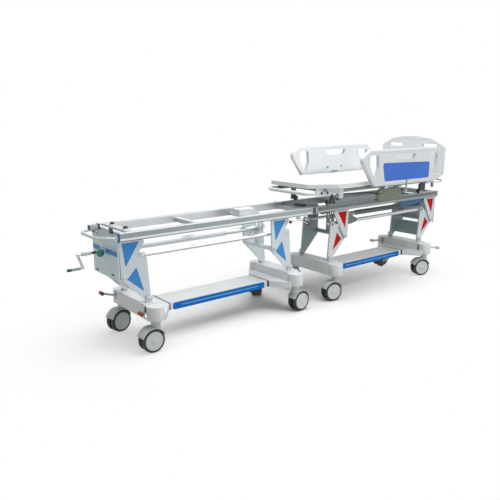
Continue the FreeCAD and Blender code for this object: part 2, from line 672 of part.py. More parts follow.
def crank(side):
    grip_start = "(crank_elbow_x - crank_rake)"
    grip_z = "(screw_z - crank_throw)"
    arm = bind(doc.addObject("Part::Cylinder", "arm"), Radius="crank_tube_r",
               Height="sqrt(crank_throw ^ 2 + crank_rake ^ 2)")
    arm = turned(arm, (0, 1, 0), "atan2(crank_rake; crank_throw)", grip_start, "0", grip_z)
    knuckles = [ball("crank_elbow_x", "0", "screw_z", "crank_tube_r + elbow_swell"),
                ball(grip_start, "0", grip_z, "crank_tube_r")]
    spindle = rod("x", "0", grip_z, grip_start, f"{CRANK_TIP} - grip_cap - overcut", "grip_pin_r")
    trolley_node("crank", side, fuse(screw_shaft("crank_elbow_x"), arm, *knuckles, spindle))


def crank_grip(side):
    grip_z = "(screw_z - crank_throw)"
    start = "(crank_elbow_x - crank_rake + grip_gap)"
    body = rod("x", "0", grip_z, start, CRANK_TIP, "grip_r")
    bore = rod("x", "0", grip_z, f"{start} - overcut", f"{CRANK_TIP} - grip_cap",
               "grip_pin_r + pin_clearance")
    trolley_node("crank_grip", side, cut(body, bore))


def plain_screw(side):
    """Screw of the second trolley: its crank is off and a square end is left."""
    middle = "square_length / 2"
    square = box(f"screw_stub_x - {middle}", f"screw_stub_x + {middle}", "0 - square_half",
                 "square_half", "screw_z - square_half", "screw_z + square_half")
    trolley_node("screw", side, fuse(screw_shaft("screw_stub_x"), square))


def nut_tube(side):
    body = rod("x", "0", "screw_z", f"{APEX_INNER} - nut_tail", "nut_tube_x", "nut_tube_r")
    bore = rod("x", "0", "screw_z", "nut_bore_x", "nut_tube_x + overcut", "screw_r + pin_clearance")
    pin = rod("y", APEX_INNER, "screw_z", "0 - nut_pin_half", "nut_pin_half", "nut_pin_r")
    trolley_node("nut_tube", side, fuse(cut(body, bore), pin))


# ---- rails and what they carry -----------------------------------------------------------------

def rail():
    start = "dock_gap / 2"
    bar = box(start, "rail_end_x", "rail_in_y", "rail_out_y", "rail_low_z", "rail_top_z")
    hollow = box(f"{start} - overcut", "rail_end_x + overcut", "rail_in_y + rail_wall",
                 "rail_out_y - rail_wall", "rail_low_z + rail_wall", "rail_top_z - rail_wall")
    groove = box(f"{start} - overcut", "rail_end_x + overcut", "rail_out_y - rail_groove",
                 "rail_out_y + overcut", "rail_groove_z - rail_groove",
                 "rail_groove_z + rail_groove")
    return cut(bar, hollow, groove)


def rails(side):
    trolley_node("rails", side, group(*both_sides(rail())))


def cross_member(middle_x, half, low_z, high_z):
    return box(f"{middle_x} - {half}", f"{middle_x} + {half}", "0 - rail_in_y", "rail_in_y",
               low_z, high_z)


def dock_pin():
    """Guide pin on a plug in the rail end of trolley B; it reaches into the rail of trolley A."""
    middle_y = "((rail_in_y + rail_out_y) / 2)"
    middle_z = "((rail_low_z + rail_top_z) / 2)"
    plug = box("dock_gap", "dock_pin_root", "rail_in_y + rail_wall + rail_groove",
               "rail_out_y - rail_wall - rail_groove", "rail_low_z + rail_wall",
               "rail_top_z - rail_wall")
    pin = rod("x", middle_y, middle_z, "0 - dock_pin_reach", "dock_pin_root", "dock_pin_r")
    return fuse(plug, pin)


def latch_lug():
    """Lug under the near rail with the pin of the dock release lever."""
    plate = box("latch_x - latch_lug_half", "latch_x + latch_lug_half", "0 - rail_out_y",
                "0 - rail_out_y + latch_lug_thick", "latch_z - latch_boss_r", "rail_low_z")
    pin = rod("y", "latch_x", "latch_z", "0 - latch_out_y", "0 - rail_out_y + latch_lug_thick / 2",
              "latch_pin_r")
    return fuse(plate, pin)


def cross_members(side):
    low, high = "(rail_low_z + cross_lift)", "rail_low_z + cross_high"
    members = [cross_member("cross_mid_x", "cross_half", low, f"{low} + cross_depth"),
               cross_member("cross_box_x", "cross_wide_half", low, f"{low} + cross_thin"),
               cross_member("cross_dock_x", "cross_half", low, f"{low} + cross_depth"),
               cross_member("cross_end_x", "cross_half", high, "rail_top_z")]
    if side == "a":
        members.append(cross_member("cross_stop_x", "cross_stop_half", high, "rail_top_z"))
        members.append(latch_lug())
    else:
        members.extend(both_sides(dock_pin()))
    trolley_node("cross_members", side, group(*members))


def end_panel(side):
    inner_x = "(rail_end_x + panel_gap)"
    outer_x = f"({inner_x} + panel_thick)"
    plate = box(inner_x, outer_x, "0 - bracket_out_y", "bracket_out_y", "panel_low_z", "rail_low_z")
    boss = rod("x", "0", "screw_z", outer_x, f"{outer_x} + panel_boss", "panel_boss_r")
    bore = rod("x", "0", "screw_z", f"{inner_x} - overcut", f"{outer_x} + panel_boss + overcut",
               "screw_r + pin_clearance")
    foot_y = "(bracket_out_y - panel_foot_inset)"
    foot_top = "(rail_low_z - panel_foot_drop)"
    foot = box("rail_end_x", f"{inner_x} + overlap", f"{foot_y} - panel_foot", foot_y,
               f"{foot_top} - panel_foot_height", foot_top)
    trolley_node("end_panel", side, cut(fuse(plate, boss, *both_sides(foot)), bore))


def bumper(side):
    straight = rod("x", "bumper_y", "bumper_z", "rail_end_x", "bumper_x - bumper_bend", "bumper_r")
    corner = elbow("bumper_x - bumper_bend", "bumper_y - bumper_bend", "bumper_z",
                   "bumper_bend", "bumper_r", 0)
    front = rod("y", "bumper_x", "bumper_z", "0 - bumper_y + bumper_bend",
                "bumper_y - bumper_bend", "bumper_r")
    trolley_node("bumper", side, fuse(*both_sides(straight), *both_sides(corner), front))


def stop_block():
    """Low block with a round button, on the stop cross member."""
    start = "(cross_stop_x - stop_block_inset)"
    middle = f"({start} + stop_block_length / 2)"
    top = "(rail_top_z + stop_block_height)"
    block = box(start, f"{start} + stop_block_length", "stop_y - stop_block_half",
                "stop_y + stop_block_half", "rail_top_z", top)
    button = rod("z", middle, "stop_y", "rail_top_z", f"{top} + stop_button_height", "stop_button_r")
    return fuse(block, button)


def end_stops(side):
    """Two stop blocks, and outward of the end cross member two collars, one with an arm."""
    face = "(cross_end_x + cross_half)"
    collar = box(face, f"{face} + collar_thick", "stop_y - collar_half", "stop_y + collar_half",
                 "rail_top_z - collar_drop", "rail_top_z + collar_rise")
    arm = box(face, f"{face} + stop_arm_length", "stop_y - stop_arm_half", "stop_y + stop_arm_half",
              "rail_top_z - stop_arm_drop", "rail_top_z + stop_arm_rise")
    far_collar = fuse(collar, arm)
    near_collar = flipped(collar, (0, 1, 0))
    trolley_node("end_stops", side, group(*both_sides(stop_block()), far_collar, near_collar))


def dock_box(side):
    low = "(rail_low_z + cross_lift + cross_thin)"
    body = box("cross_box_x - dock_box_in", "cross_box_x + dock_box_out", "0", "dock_box_width",
               low, f"{low} + dock_box_height")
    trolley_node("dock_box", side, body)


def dock_release(side):
    """Two thin arms with ball knobs on one boss, on the near rail."""
    middle_y = "(0 - (latch_in_y + latch_out_y) / 2)"
    boss = rod("y", "latch_x", "latch_z", "0 - latch_out_y", "0 - latch_in_y", "latch_boss_r")
    bore = rod("y", "latch_x", "latch_z", "0 - latch_out_y - overcut", "0 - latch_in_y + overcut",
               "latch_pin_r + pin_clearance")
    parts = [boss]
    for run, drop in (("latch_long_run", "latch_long_drop"),
                      ("0 - latch_short_run", "latch_short_drop")):
        arm = bind(doc.addObject("Part::Cylinder", "arm"), Radius="latch_arm",
                   Height=f"sqrt(({run}) ^ 2 + {drop} ^ 2)")
        parts.append(turned(arm, (0, 1, 0), f"atan2({run}; 0 - {drop})", "latch_x", middle_y,
                            "latch_z"))
        parts.append(ball(f"latch_x + {run}", middle_y, f"latch_z - {drop}", "latch_knob_r"))
    trolley_node("dock_release", side, cut(fuse(*parts), bore))


# ---- bases -------------------------------------------------------------------------------------

def castor_socket(x):
    body = rod("z", x, "castor_y", "socket_low_z",
               "lobe_top_z - cover_wall - seat_gap", "socket_r")
    bore = rod("z", x, "castor_y", "socket_low_z - overcut", "stem_top_z + stem_room",
               "stem_r + pin_clearance")
    return cut(body, bore)


def pivot_lug(x):
    post = box(f"{x} - lug_half", f"{x} + lug_half", "bracket_in_y", "bracket_out_y",
               "tube_top_z - lug_root", "pivot_z")
    cap = rod("y", x, "pivot_z", "bracket_in_y", "bracket_out_y", "lug_half")
    pin = rod("y", x, "pivot_z", "lever_in_y - pin_proud", "bracket_out_y", "pivot_pin_r")
    return fuse(post, cap, pin)


def cross_tube(x):
    tube = box(f"{x} - tube_half", f"{x} + tube_half", "0 - castor_y", "castor_y",
               "tube_low_z", "tube_top_z")
    bores = both_sides(rod("z", x, "castor_y", "tube_low_z - overcut", "stem_top_z + stem_room",
                           "stem_r + pin_clearance"))
    return cut(tube, *bores)


def brake_support():
    outer = "(brake_support_y + brake_support_thick)"
    plate = box(f"{BEAM_OUTER} + tube_half - overlap", f"{BRAKE_X} + brake_support_nose",
                "brake_support_y", outer, "brake_z - brake_support_half",
                "brake_z + brake_support_half")
    bore = rod("y", BRAKE_X, "brake_z", "brake_support_y - overcut", f"{outer} + overcut",
               "brake_r + pin_clearance")
    return cut(plate, bore)


def fifth_lug(pivot_x):
    return box(f"{pivot_x} - fifth_barrel_r", f"{pivot_x} + fifth_barrel_r", "fifth_lug_in_y",
               "fifth_lug_out_y", "fifth_pivot_z - fifth_lug_low", "spine_low_z + overlap")


def base_frame(side):
    pivot_x = f"fifth_pivot_{side}_x"
    spine = box(BEAM_INNER, BEAM_OUTER, "0 - spine_half", "spine_half",
                "spine_low_z", SPINE_TOP)
    parts = [spine, cross_tube(BEAM_OUTER), cross_tube(BEAM_INNER)]
    for x in (BEAM_OUTER, BEAM_INNER):
        parts.extend(both_sides(castor_socket(x)))
    for x in ("pivot_outer_x", "pivot_inner_x"):
        parts.extend(both_sides(pivot_lug(x)))
    parts.extend(both_sides(brake_support()))
    parts.extend(both_sides(fifth_lug(pivot_x)))
    parts.append(rod("y", pivot_x, "fifth_pivot_z", "0 - fifth_lug_out_y", "fifth_lug_out_y",
                     "fifth_pin_r"))
    frame = fuse(*parts)
    if side == "b":
        saddle = box(f"{BEAM_OUTER} - tube_half - overcut", f"{BEAM_OUTER} + tube_half + overcut",
                     "pedal_y - pedal_half - side_play", "pedal_y + pedal_half + side_play",
                     "pedal_saddle_z", "tube_top_z + overcut")
        frame = cut(frame, saddle)
    trolley_node("base_frame", side, frame)


def beam_shape(x, wall):
    """Beam with two round lobes over the castors; wall shrinks it to its hollow."""
    beam = box(f"{x} - beam_half + {wall}", f"{x} + beam_half - {wall}", f"0 - beam_y + {wall}",
               f"beam_y - {wall}", f"beam_low_z - {wall}", f"beam_top_z - {wall}")
    lobe = rod("z", x, "castor_y", f"lobe_low_z - {wall}", f"lobe_top_z - {wall}",
               f"beam_half - {wall}")
    return fuse(beam, *both_sides(lobe))


def beam_cover(beam_x, pivot_x, inward, pedals):
    """Moulded shell over a cross beam, open below, slotted for the lugs, spine and pedals."""
    notch_end = f"{beam_x} + {inward} * (beam_half + overcut)"
    low_x, high_x = (beam_x, notch_end) if inward > 0 else (notch_end, beam_x)
    notch = box(low_x, high_x, "0 - spine_half - cover_gap", "spine_half + cover_gap",
                "spine_low_z - notch_room", f"{SPINE_TOP} + cover_gap")
    slots = both_sides(box(f"{pivot_x} - lug_half - cover_gap", f"{pivot_x} + lug_half + cover_gap",
                           "bracket_in_y - cover_gap", "bracket_out_y + cover_gap",
                           "tube_top_z", "beam_top_z + overcut"))
    if pedals:
        slots.extend(both_sides(box(f"{beam_x} - beam_half - overcut",
                                    f"{beam_x} + beam_half + overcut",
                                    "pedal_y - pedal_half - side_play",
                                    "pedal_y + pedal_half + side_play",
                                    "pedal_slot_low_z", "pedal_slot_top_z")))
    return cut(beam_shape(beam_x, "0"), beam_shape(beam_x, "cover_wall"), notch, *slots)


def beam_covers(side):
    outer = beam_cover(BEAM_OUTER, "pivot_outer_x", -1, True)
    inner = beam_cover(BEAM_INNER, "pivot_inner_x", 1, False)
    trolley_node("beam_covers", side, group(outer, inner))


def sketch_on(body, role, name, points, offset="0"):
    plane = [feature for feature in body.Origin.OriginFeatures if feature.Role == role][0]
    sketch = body.newObject("Sketcher::SketchObject", name)
    sketch.AttachmentSupport = [(plane, "")]
    sketch.MapMode = "FlatFace"
    bind(sketch, AttachmentOffset__Base__z=offset)
    draw_polygon(sketch, points)
    return sketch


def mirrored_outline(half):
    """Close an outline given for one side (across, half breadth) with its other side."""
    return half + [(across, f"0 - ({breadth})") for across, breadth in reversed(half)]


def edges_where(shape, wanted):
    return [f"Edge{index}" for index, edge in enumerate(shape.Edges, start=1) if wanted(edge)]


SAME = 0.01  # lengths closer than this are taken as equal


def is_upright(edge):
    first, last = edge.firstVertex().Point, edge.lastVertex().Point
    return abs(first.x - last.x) + abs(first.y - last.y) < SAME < abs(first.z - last.z)


def shelf(side):
    """Moulded tray between the beams, flared where it meets them and hollow below."""
    body = doc.addObject("PartDesign::Body", "shelf_body")
    start = f"({BEAM_INNER} + beam_half + shelf_gap)"
    end = f"({BEAM_OUTER} - beam_half - shelf_gap)"
    plan = mirrored_outline([
        (start, "flare_half"), (f"{start} + flare_land", "flare_half"),
        (f"{start} + flare_run", "shelf_half"), (f"{end} - flare_run", "shelf_half"),
        (f"{end} - flare_land", "flare_half"), (end, "flare_half")])
    pad = body.newObject("PartDesign::Pad", "tray")
    pad.Profile = sketch_on(body, "XY_Plane", "tray_plan", plan, "shelf_low_z")
    bind(pad, Length="shelf_top_z - shelf_low_z")
    doc.recompute()
    shelf_half = float(sheet.shelf_half)
    fillet = body.newObject("PartDesign::Fillet", "flare_hollow")
    waist = edges_where(pad.Shape, lambda edge: is_upright(edge)
                        and abs(abs(edge.firstVertex().Point.y) - shelf_half) < SAME)
    fillet.Base = (pad, waist)
    bind(fillet, Radius="flare_fillet")
    doc.recompute()
    hollow = body.newObject("PartDesign::Pocket", "tray_hollow")
    hollow.Profile = sketch_on(body, "XY_Plane", "hollow_plan", mirrored_outline([
        (f"{start} + cover_wall", "flare_half - cover_wall"),
        (f"{start} + flare_land - cover_wall", "flare_half - cover_wall"),
        (f"{start} + flare_run - cover_wall", "shelf_half - cover_wall"),
        (f"{end} - flare_run + cover_wall", "shelf_half - cover_wall"),
        (f"{end} - flare_land + cover_wall", "flare_half - cover_wall"),
        (f"{end} - cover_wall", "flare_half - cover_wall")]), "shelf_low_z")
    hollow.Reversed = True
    bind(hollow, Length="shelf_top_z - shelf_low_z - cover_wall")
    doc.recompute()
    notch = body.newObject("PartDesign::Pocket", "spine_notch")
    notch.Profile = sketch_on(body, "XY_Plane", "notch_plan", mirrored_outline([
        (f"{start} - overcut", "spine_half + cover_gap"),
        (f"{end} + overcut", "spine_half + cover_gap")]), "shelf_low_z")
    notch.Reversed = True
    bind(notch, Length=f"{SPINE_TOP} - shelf_low_z + seat_gap / 2")
    doc.recompute()
    trolley_node("shelf", side, body)


def pedal_arm(y, reach, rise):
    """Pedal bar from the brake shaft to a round foot; reach is outward, rise is upward."""
    bar = box("0", f"sqrt(({reach}) ^ 2 + ({rise}) ^ 2)", f"{y} - pedal_half", f"{y} + pedal_half",
              "0 - pedal_thick / 2", "pedal_thick / 2")
    arm = turned(bar, (0, 1, 0), f"atan2(0 - ({rise}); {reach})", BRAKE_X, "0", "brake_z")
    foot = rod("y", f"{BRAKE_X} + ({reach})", f"brake_z + ({rise})",
               f"{y} - pedal_half - pedal_foot_proud", f"{y} + pedal_half + pedal_foot_proud",
               "pedal_foot")
    return [arm, foot]


def brake_bar(side):
    shaft = rod("y", BRAKE_X, "brake_z", "0 - brake_half", "brake_half", "brake_r")
    if side == "a":
        arms = (pedal_arm("pedal_y", "pedal_up_reach", "pedal_up_rise")
                + pedal_arm("(0 - pedal_y)", "pedal_short_reach", "0 - pedal_thick"))
    else:
        arms = (pedal_arm("(0 - pedal_y)", "pedal_down_reach", "0 - pedal_down_drop")
                + pedal_arm("pedal_y", "0 - pedal_back_reach", "pedal_back_rise"))
    trolley_node("brake_bar", side, fuse(shaft, *arms))


def fifth_arm_bar(pivot_x, reach, drop, y0, y1):
    """Straight bar from the fifth wheel pivot to its axle."""
    bar = box("0", f"sqrt(({reach}) ^ 2 + {drop} ^ 2)", y0, y1, "0 - fifth_bar", "fifth_bar")
    return turned(bar, (0, 1, 0), f"atan2({drop}; {reach})", pivot_x, "0", "fifth_pivot_z")


def fifth_barrel(pivot_x):
    inner = "(fifth_lug_in_y - side_play)"
    return rod("y", pivot_x, "fifth_pivot_z", f"0 - {inner}", inner, "fifth_barrel_r")


def fifth_bore(pivot_x):
    return rod("y", pivot_x, "fifth_pivot_z", "0 - fifth_lug_out_y - overcut",
               "fifth_lug_out_y + overcut", "fifth_pin_r + pin_clearance")


def fifth_set_a():
    """Arm with a small wheel on each side, held up under the shelf of trolley A."""
    pivot_x, axle_x = "fifth_pivot_a_x", "(fifth_pivot_a_x - fifth_reach)"
    axle_z = "(fifth_pivot_z - fifth_small_drop)"
    outer = "(fifth_wheel_y + fifth_wheel_width)"
    bar = fifth_arm_bar(pivot_x, "0 - fifth_reach", "fifth_small_drop", "0 - fifth_bar", "fifth_bar")
    axle = rod("y", axle_x, axle_z, f"0 - {outer} - fifth_axle_end", f"{outer} + fifth_axle_end",
               "fifth_axle_r")
    arm = cut(fuse(bar, fifth_barrel(pivot_x)), fifth_bore(pivot_x))
    trolley_node("fifth_arm", "a", fuse(arm, axle))
    wheel = rod("y", axle_x, axle_z, "fifth_wheel_y", outer, "fifth_small_r")
    bore = rod("y", axle_x, axle_z, "fifth_wheel_y - overcut", f"{outer} + overcut",
               "fifth_axle_r + pin_clearance")
    trolley_node("fifth_wheels", "a", group(*both_sides(cut(wheel, bore))))


def fifth_set_b():
    """Forked arm with one larger wheel, held up under the shelf of trolley B."""
    pivot_x, axle_x = "fifth_pivot_b_x", "(fifth_pivot_b_x - fifth_reach)"
    axle_z = "(fifth_pivot_z - fifth_large_drop)"
    inner = "(fifth_lug_in_y - side_play)"
    side_bar = fifth_arm_bar(pivot_x, "0 - fifth_reach", "fifth_large_drop",
                             f"{inner} - fork_thick", inner)
    axle = rod("y", axle_x, axle_z, f"0 - {inner}", inner, "fifth_axle_r")
    frame = cut(fuse(*both_sides(side_bar), fifth_barrel(pivot_x)), fifth_bore(pivot_x))
    trolley_node("fifth_arm", "b", fuse(frame, axle))
    half = f"({inner} - fork_thick - side_play)"
    wheel = rod("y", axle_x, axle_z, f"0 - {half}", half, "fifth_large_r")
    bore = rod("y", axle_x, axle_z, f"0 - {half} - overcut", f"{half} + overcut",
               "fifth_axle_r + pin_clearance")
    trolley_node("fifth_wheels", "b", cut(wheel, bore))


# ---- castors -----------------------------------------------------------------------------------

def castor_fork_shape():
    """Castor body about its stem, with the wheels trailing toward -X."""
    half = "(web_half + side_play + wheel_width + side_play)"
    disc = rod("y", "0 - trail", AXLE_Z, f"0 - {half}", half, "hood_r")
    upper = box("0 - trail - hood_r", "0 - trail + hood_r", f"0 - {half}", half,
                f"{AXLE_Z} + hood_rise", f"{AXLE_Z} + hood_r")
    hood = common(disc, upper)
    neck = rod("z", "0", "0", "neck_low_z", "neck_top_z", "neck_r")
    wells = both_sides(rod("y", "0 - trail", AXLE_Z, "web_half", f"{half} + wheel_width",
                           "wheel_r + hood_gap"))
    web = box("0 - trail - castor_boss_r", "0 - trail + castor_boss_r", "0 - web_half", "web_half",
              AXLE_Z, f"{AXLE_Z} + hood_rise + overlap")
    boss = rod("y", "0 - trail", AXLE_Z, "0 - web_half", "web_half", "castor_boss_r")
    axle_end = f"({half} - castor_axle_inset)"
    axle = rod("y", "0 - trail", AXLE_Z, f"0 - {axle_end}", axle_end, "castor_axle_r")
    stem = rod("z", "0", "0", "neck_top_z - overlap", "stem_top_z", "stem_r")
    return fuse(cut(fuse(hood, neck), *wells), web, boss, axle, stem)


def castor_wheel_shape():
    """One of the twin wheels, on the +Y side, its tyre shoulders rounded by the crossing cones."""
    inner = "(web_half + side_play)"
    outer = f"({inner} + wheel_width)"
    tyre = rod("y", "0 - trail", AXLE_Z, inner, outer, "wheel_r")
    bore = rod("y", "0 - trail", AXLE_Z, f"{inner} - overcut", f"{outer} + overcut",
               "castor_axle_r + pin_clearance")
    parts = [tyre]
    for start, turn in ((inner, 0), (outer, 180)):
        cone = doc.addObject("Part::Cone", "shoulder")
        cone.Placement = Placement(Vector(), Rotation(Vector(1, 0, 0), -90 + turn))
        bind(cone, Radius1="wheel_r - wheel_round / 2", Radius2="wheel_r + 3 * wheel_round",
             Height="7 * wheel_round")
        parts.append(seat(cone, "0 - trail", start, AXLE_Z))
    rounded = common(common(parts[0], parts[1]), parts[2])
    return cut(rounded, bore)


CASTORS = [
    # name, beam, trolley, side of the stretcher, angle that the wheels trail at
    ("outer_near_a", BEAM_OUTER, "a", -1, 0),
    ("outer_far_a", BEAM_OUTER, "a", 1, 11),
    ("inner_near_a", BEAM_INNER, "a", -1, 182),
    ("inner_far_a", BEAM_INNER, "a", 1, 228),
    ("inner_near_b", BEAM_INNER, "b", -1, -13),
    ("inner_far_b", BEAM_INNER, "b", 1, 8),
    ("outer_near_b", BEAM_OUTER, "b", -1, -22),
    ("outer_far_b", BEAM_OUTER, "b", 1, -12),
]


def castors():
    """Eight castors, each a fork and a pair of wheels turned to the angle that it rests at."""
    fork = castor_fork_shape()
    wheels = group(*both_sides(castor_wheel_shape()))
    for name, beam, trolley, side, angle in CASTORS:
        sign = "0 - " if trolley == "a" else ""
        for label, shape in (("castor_fork", fork), ("castor_wheels", wheels)):
            stem_x = f"{sign}{beam}"
            placed = turned(shape, (0, 0, 1), angle, stem_x, f"{side} * castor_y")
            node(f"{label}_{name}", group(placed))


# ---- patient platform --------------------------------------------------------------------------

def side_tubes():
    start = "(tube_left_x + tube_bend)"
    sides = both_sides(rod("x", "tube_y", "tube_z", start, "tube_right_x", "tube_r"))
    bends = both_sides(elbow(start, "tube_y - tube_bend", "tube_z", "tube_bend", "tube_r", 1))
    nose = rod("y", "tube_left_x", "tube_z", "0 - tube_y + tube_bend", "tube_y - tube_bend", "tube_r")
    return sides + bends + [nose]


def platform_bar(x):
    return box(f"{x} - bar_half", f"{x} + bar_half", "0 - bar_y", "bar_y", "bar_low_z", "deck_low_z")


def hanger(x, half, low_z):
    """Plate that hangs from a ledge on a side tube; it ends flush against the tube."""
    plate = box(f"{x} - {half}", f"{x} + {half}", "hanger_in_y", HANGER_OUT, low_z,
                "tube_z + ledge_half")
    ledge = box(f"{x} - {half}", f"{x} + {half}", "hanger_in_y", "tube_y", "tube_z - ledge_half",
                "tube_z + ledge_half")
    tube = rod("x", "tube_y", "tube_z", f"{x} - 2 * {half}", f"{x} + 2 * {half}", "tube_r")
    return cut(fuse(plate, ledge), tube)


def roller_hanger(x):
    """Hanger with the stub axle of a roller."""
    axle = rod("y", x, ROLLER_Z, "roller_in_y - axle_proud", HANGER_OUT, "roller_pin_r")
    return fuse(hanger(x, "hanger_half", f"{ROLLER_Z} - hanger_low"), axle)


def skirt_hanger(x):
    """Hanger of the oval cover, on the near side."""
    return flipped(hanger(x, "skirt_hanger_half", f"{SKIRT_Z} - skirt_hanger_low"), (0, 1, 0))


def hinge_lugs():
    """Two lugs and a pin that carry one knuckle of the backrest hinge."""
    half = "(hinge_knuckle / 2 + hinge_lug_gap)"
    lugs = [box("hinge_x - hinge_lug_half", "hinge_x + hinge_lug_half", low, high,
                "deck_low_z - hinge_lug_root", f"{HINGE_Z} + hinge_lug_half")
            for low, high in ((f"hinge_y - {half} - hinge_lug", f"hinge_y - {half}"),
                              (f"hinge_y + {half}", f"hinge_y + {half} + hinge_lug"))]
    pin = rod("y", "hinge_x", HINGE_Z, f"hinge_y - {half} - hinge_lug",
              f"hinge_y + {half} + hinge_lug", "hinge_pin_r")
    return fuse(pin, *lugs)


def side_rail_prongs(x):
    """Two prongs and a pin that carry one knuckle of a side rail."""
    gap = "(side_knuckle + side_play)"
    parts = []
    for low, high in ((f"{x} - {gap} - prong_thick", f"{x} - {gap}"),
                      (f"{x} + {gap}", f"{x} + {gap} + prong_thick")):
        parts.append(box(low, high, "tube_y", f"{SIDE_Y} + prong_half",
                         "side_hinge_z - prong_half", "side_hinge_z + prong_half"))
    parts.append(rod("x", SIDE_Y, "side_hinge_z", f"{x} - {gap} - prong_thick",
                     f"{x} + {gap} + prong_thick", "side_pin_r"))
    return fuse(*parts)


def head_socket():
    """Upright tube at the end of a side tube, for a headboard post."""
    outer = rod("z", "head_x", "tube_y", "socket_low", "socket_high", "post_r + socket_wall")
    link = box("tube_right_x - socket_root", "head_x", "tube_y - ledge_half", "tube_y + ledge_half",
               "tube_z - ledge_half", "tube_z + ledge_half")
    bore = rod("z", "head_x", "tube_y", "socket_low + socket_floor", "socket_high + overcut",
               "post_r + pin_clearance")
    return cut(fuse(outer, link), bore)


def carriage():
    """Welded frame of the platform, and the hangers that stand against its side tubes."""
    parts = side_tubes()
    for x in ("bar_first_x", "side_hinge_a_x", "hinge_x", "side_hinge_b_x", "bar_last_x"):
        parts.append(platform_bar(x))
    for x in ("side_hinge_a_x", "side_hinge_b_x"):
        parts.extend(both_sides(side_rail_prongs(x)))
    parts.extend(both_sides(hinge_lugs()))
    parts.extend(both_sides(head_socket()))
    hangers = [skirt_hanger("(skirt_left_x + skirt_hanger_half)"),
               skirt_hanger("(skirt_right_x - skirt_hanger_half)")]
    for x in ("roller_left_x", "roller_right_x"):
        hangers.extend(both_sides(roller_hanger(x)))
    node("carriage", group(fuse(*parts), *hangers))


def rollers(name, x):
    body = rod("y", x, ROLLER_Z, "roller_in_y", "roller_out_y", "roller_r")
    bore = rod("y", x, ROLLER_Z, "roller_in_y - overcut", "roller_out_y + overcut",
               "roller_pin_r + pin_clearance")
    node(name, group(*both_sides(cut(body, bore))))


def deck():
    """Fixed board with a narrowed, rounded tip."""
    left = "(deck_left_x + deck_corner)"
    right = "(hinge_x - hinge_side - deck_corner)"
    plan = mirrored_outline([(left, "deck_tip_half - deck_corner"),
                             (f"{left} + deck_tip_run", "deck_half - deck_corner"),
                             (right, "deck_half - deck_corner")])
    node("deck", slab("z", plan, "deck_low_z + rolling_gap", DECK_TOP, "deck_corner"))


def backrest():
    """Board that swings up at the hinge, with the two knuckles on its edge."""
    left = "(hinge_x + hinge_side)"
    plan = mirrored_outline([(f"{left} + back_corner", "deck_half - back_corner"),
                             ("back_right_x - back_corner", "deck_half - back_corner")])
    board = slab("z", plan, "deck_low_z + rolling_gap", DECK_TOP, "back_corner")
    parts = [board]
    bores = []
    low, high = "hinge_y - hinge_knuckle / 2", "hinge_y + hinge_knuckle / 2"
    parts.extend(both_sides(rod("y", "hinge_x", HINGE_Z, low, high, "hinge_barrel_r")))
    parts.extend(both_sides(box("hinge_x", f"{left} + overlap", low, high,
                                f"{HINGE_Z} - hinge_barrel_r", DECK_TOP)))
    bores.extend(both_sides(rod("y", "hinge_x", HINGE_Z, f"{low} - overcut", f"{high} + overcut",
                                "hinge_pin_r + pin_clearance")))
    node("backrest", cut(fuse(*parts), *bores))


def side_corners(outline):
    """Corner centres of one of the side rail's outlines, as expressions."""
    return [(f"side_hinge_a_x + {outline}{number}_x", f"side_hinge_z + {outline}{number}_z")
            for number in range(1, len(SIDE_OUTLINES[outline]) + 1)]


def side_rail(name, side):
    """Moulded side rail with three openings, a sunk panel and two hinge knuckles."""
    inner = f"({SIDE_Y} - side_thick / 2)"
    outer = f"({SIDE_Y} + side_thick / 2)"
    board = slab("y", side_corners("board"), inner, outer, "side_rim")
    holes = [slab("y", side_corners(outline), f"{inner} - overcut", f"{outer} + overcut",
                  "side_hole_rim")
             for outline in ("left_gap", "grip", "right_gap")]
    panel = slab("y", side_corners("panel"), f"{outer} - side_panel_depth", f"{outer} + overcut",
                 "side_panel_rim")
    parts = [cut(board, panel, *holes)]
    bores = []
    for x in ("side_hinge_a_x", "side_hinge_b_x"):
        low, high = f"{x} - side_knuckle", f"{x} + side_knuckle"
        parts.append(rod("x", SIDE_Y, "side_hinge_z", low, high, "side_barrel_r"))
        parts.append(box(low, high, f"{SIDE_Y} - side_leaf_half", f"{SIDE_Y} + side_leaf_half",
                         "side_hinge_z", "side_hinge_z + side_leaf_rise"))
        bores.append(rod("x", SIDE_Y, "side_hinge_z", f"{low} - overcut", f"{high} + overcut",
                         "side_pin_r + pin_clearance"))
    rail_piece = cut(fuse(*parts), *bores)
    node(name, group(rail_piece) if side > 0 else flipped(rail_piece, (0, 1, 0)))


def long_slot(start, end, middle):
    """Narrow outline whose rim makes a slot with round ends."""
    low, high = f"{middle} - overcut", f"{middle} + overcut"
    return [(start, low), (start, high), (end, high), (end, low)]


def headboard():
    """Arched board on two posts that lift out of their sockets."""
    low_x, high_x = "(head_x - head_thick / 2)", "(head_x + head_thick / 2)"
    inner_half = "(head_half - head_rim)"
    half_outline = [(inner_half, "head_low_z + head_rim"),
                    (inner_half, "head_top_z - head_shoulder_drop - head_rim"),
                    ("head_arch_y", "head_top_z - head_arch_drop - head_rim"),
                    ("head_crown_y", "head_top_z - head_rim")]
    outline = half_outline + [(f"0 - ({across})", up) for across, up in reversed(half_outline)]
    board = slab("x", outline, low_x, high_x, "head_rim")
    slots = both_sides(slab("x", long_slot("head_slot_in_y", "head_slot_out_y", HEAD_SLOT_Z),
                            f"{low_x} - overcut", f"{high_x} + overcut", "head_slot_r"))
    posts = both_sides(rod("z", "head_x", "tube_y", "post_low_z", "head_low_z + post_root",
                           "post_r"))
    node("headboard", fuse(cut(board, *slots), *posts))


def oval_cover():
    """Oval cover on the near side of the platform, over the rail."""
    inner = f"({HANGER_OUT} + skirt_gap)"
    outer = f"({inner} + skirt_thick)"
    node("oval_cover", slab("y", long_slot("skirt_left_x", "skirt_right_x", SKIRT_Z),
                            f"0 - {outer}", f"0 - {inner}", "skirt_r"))


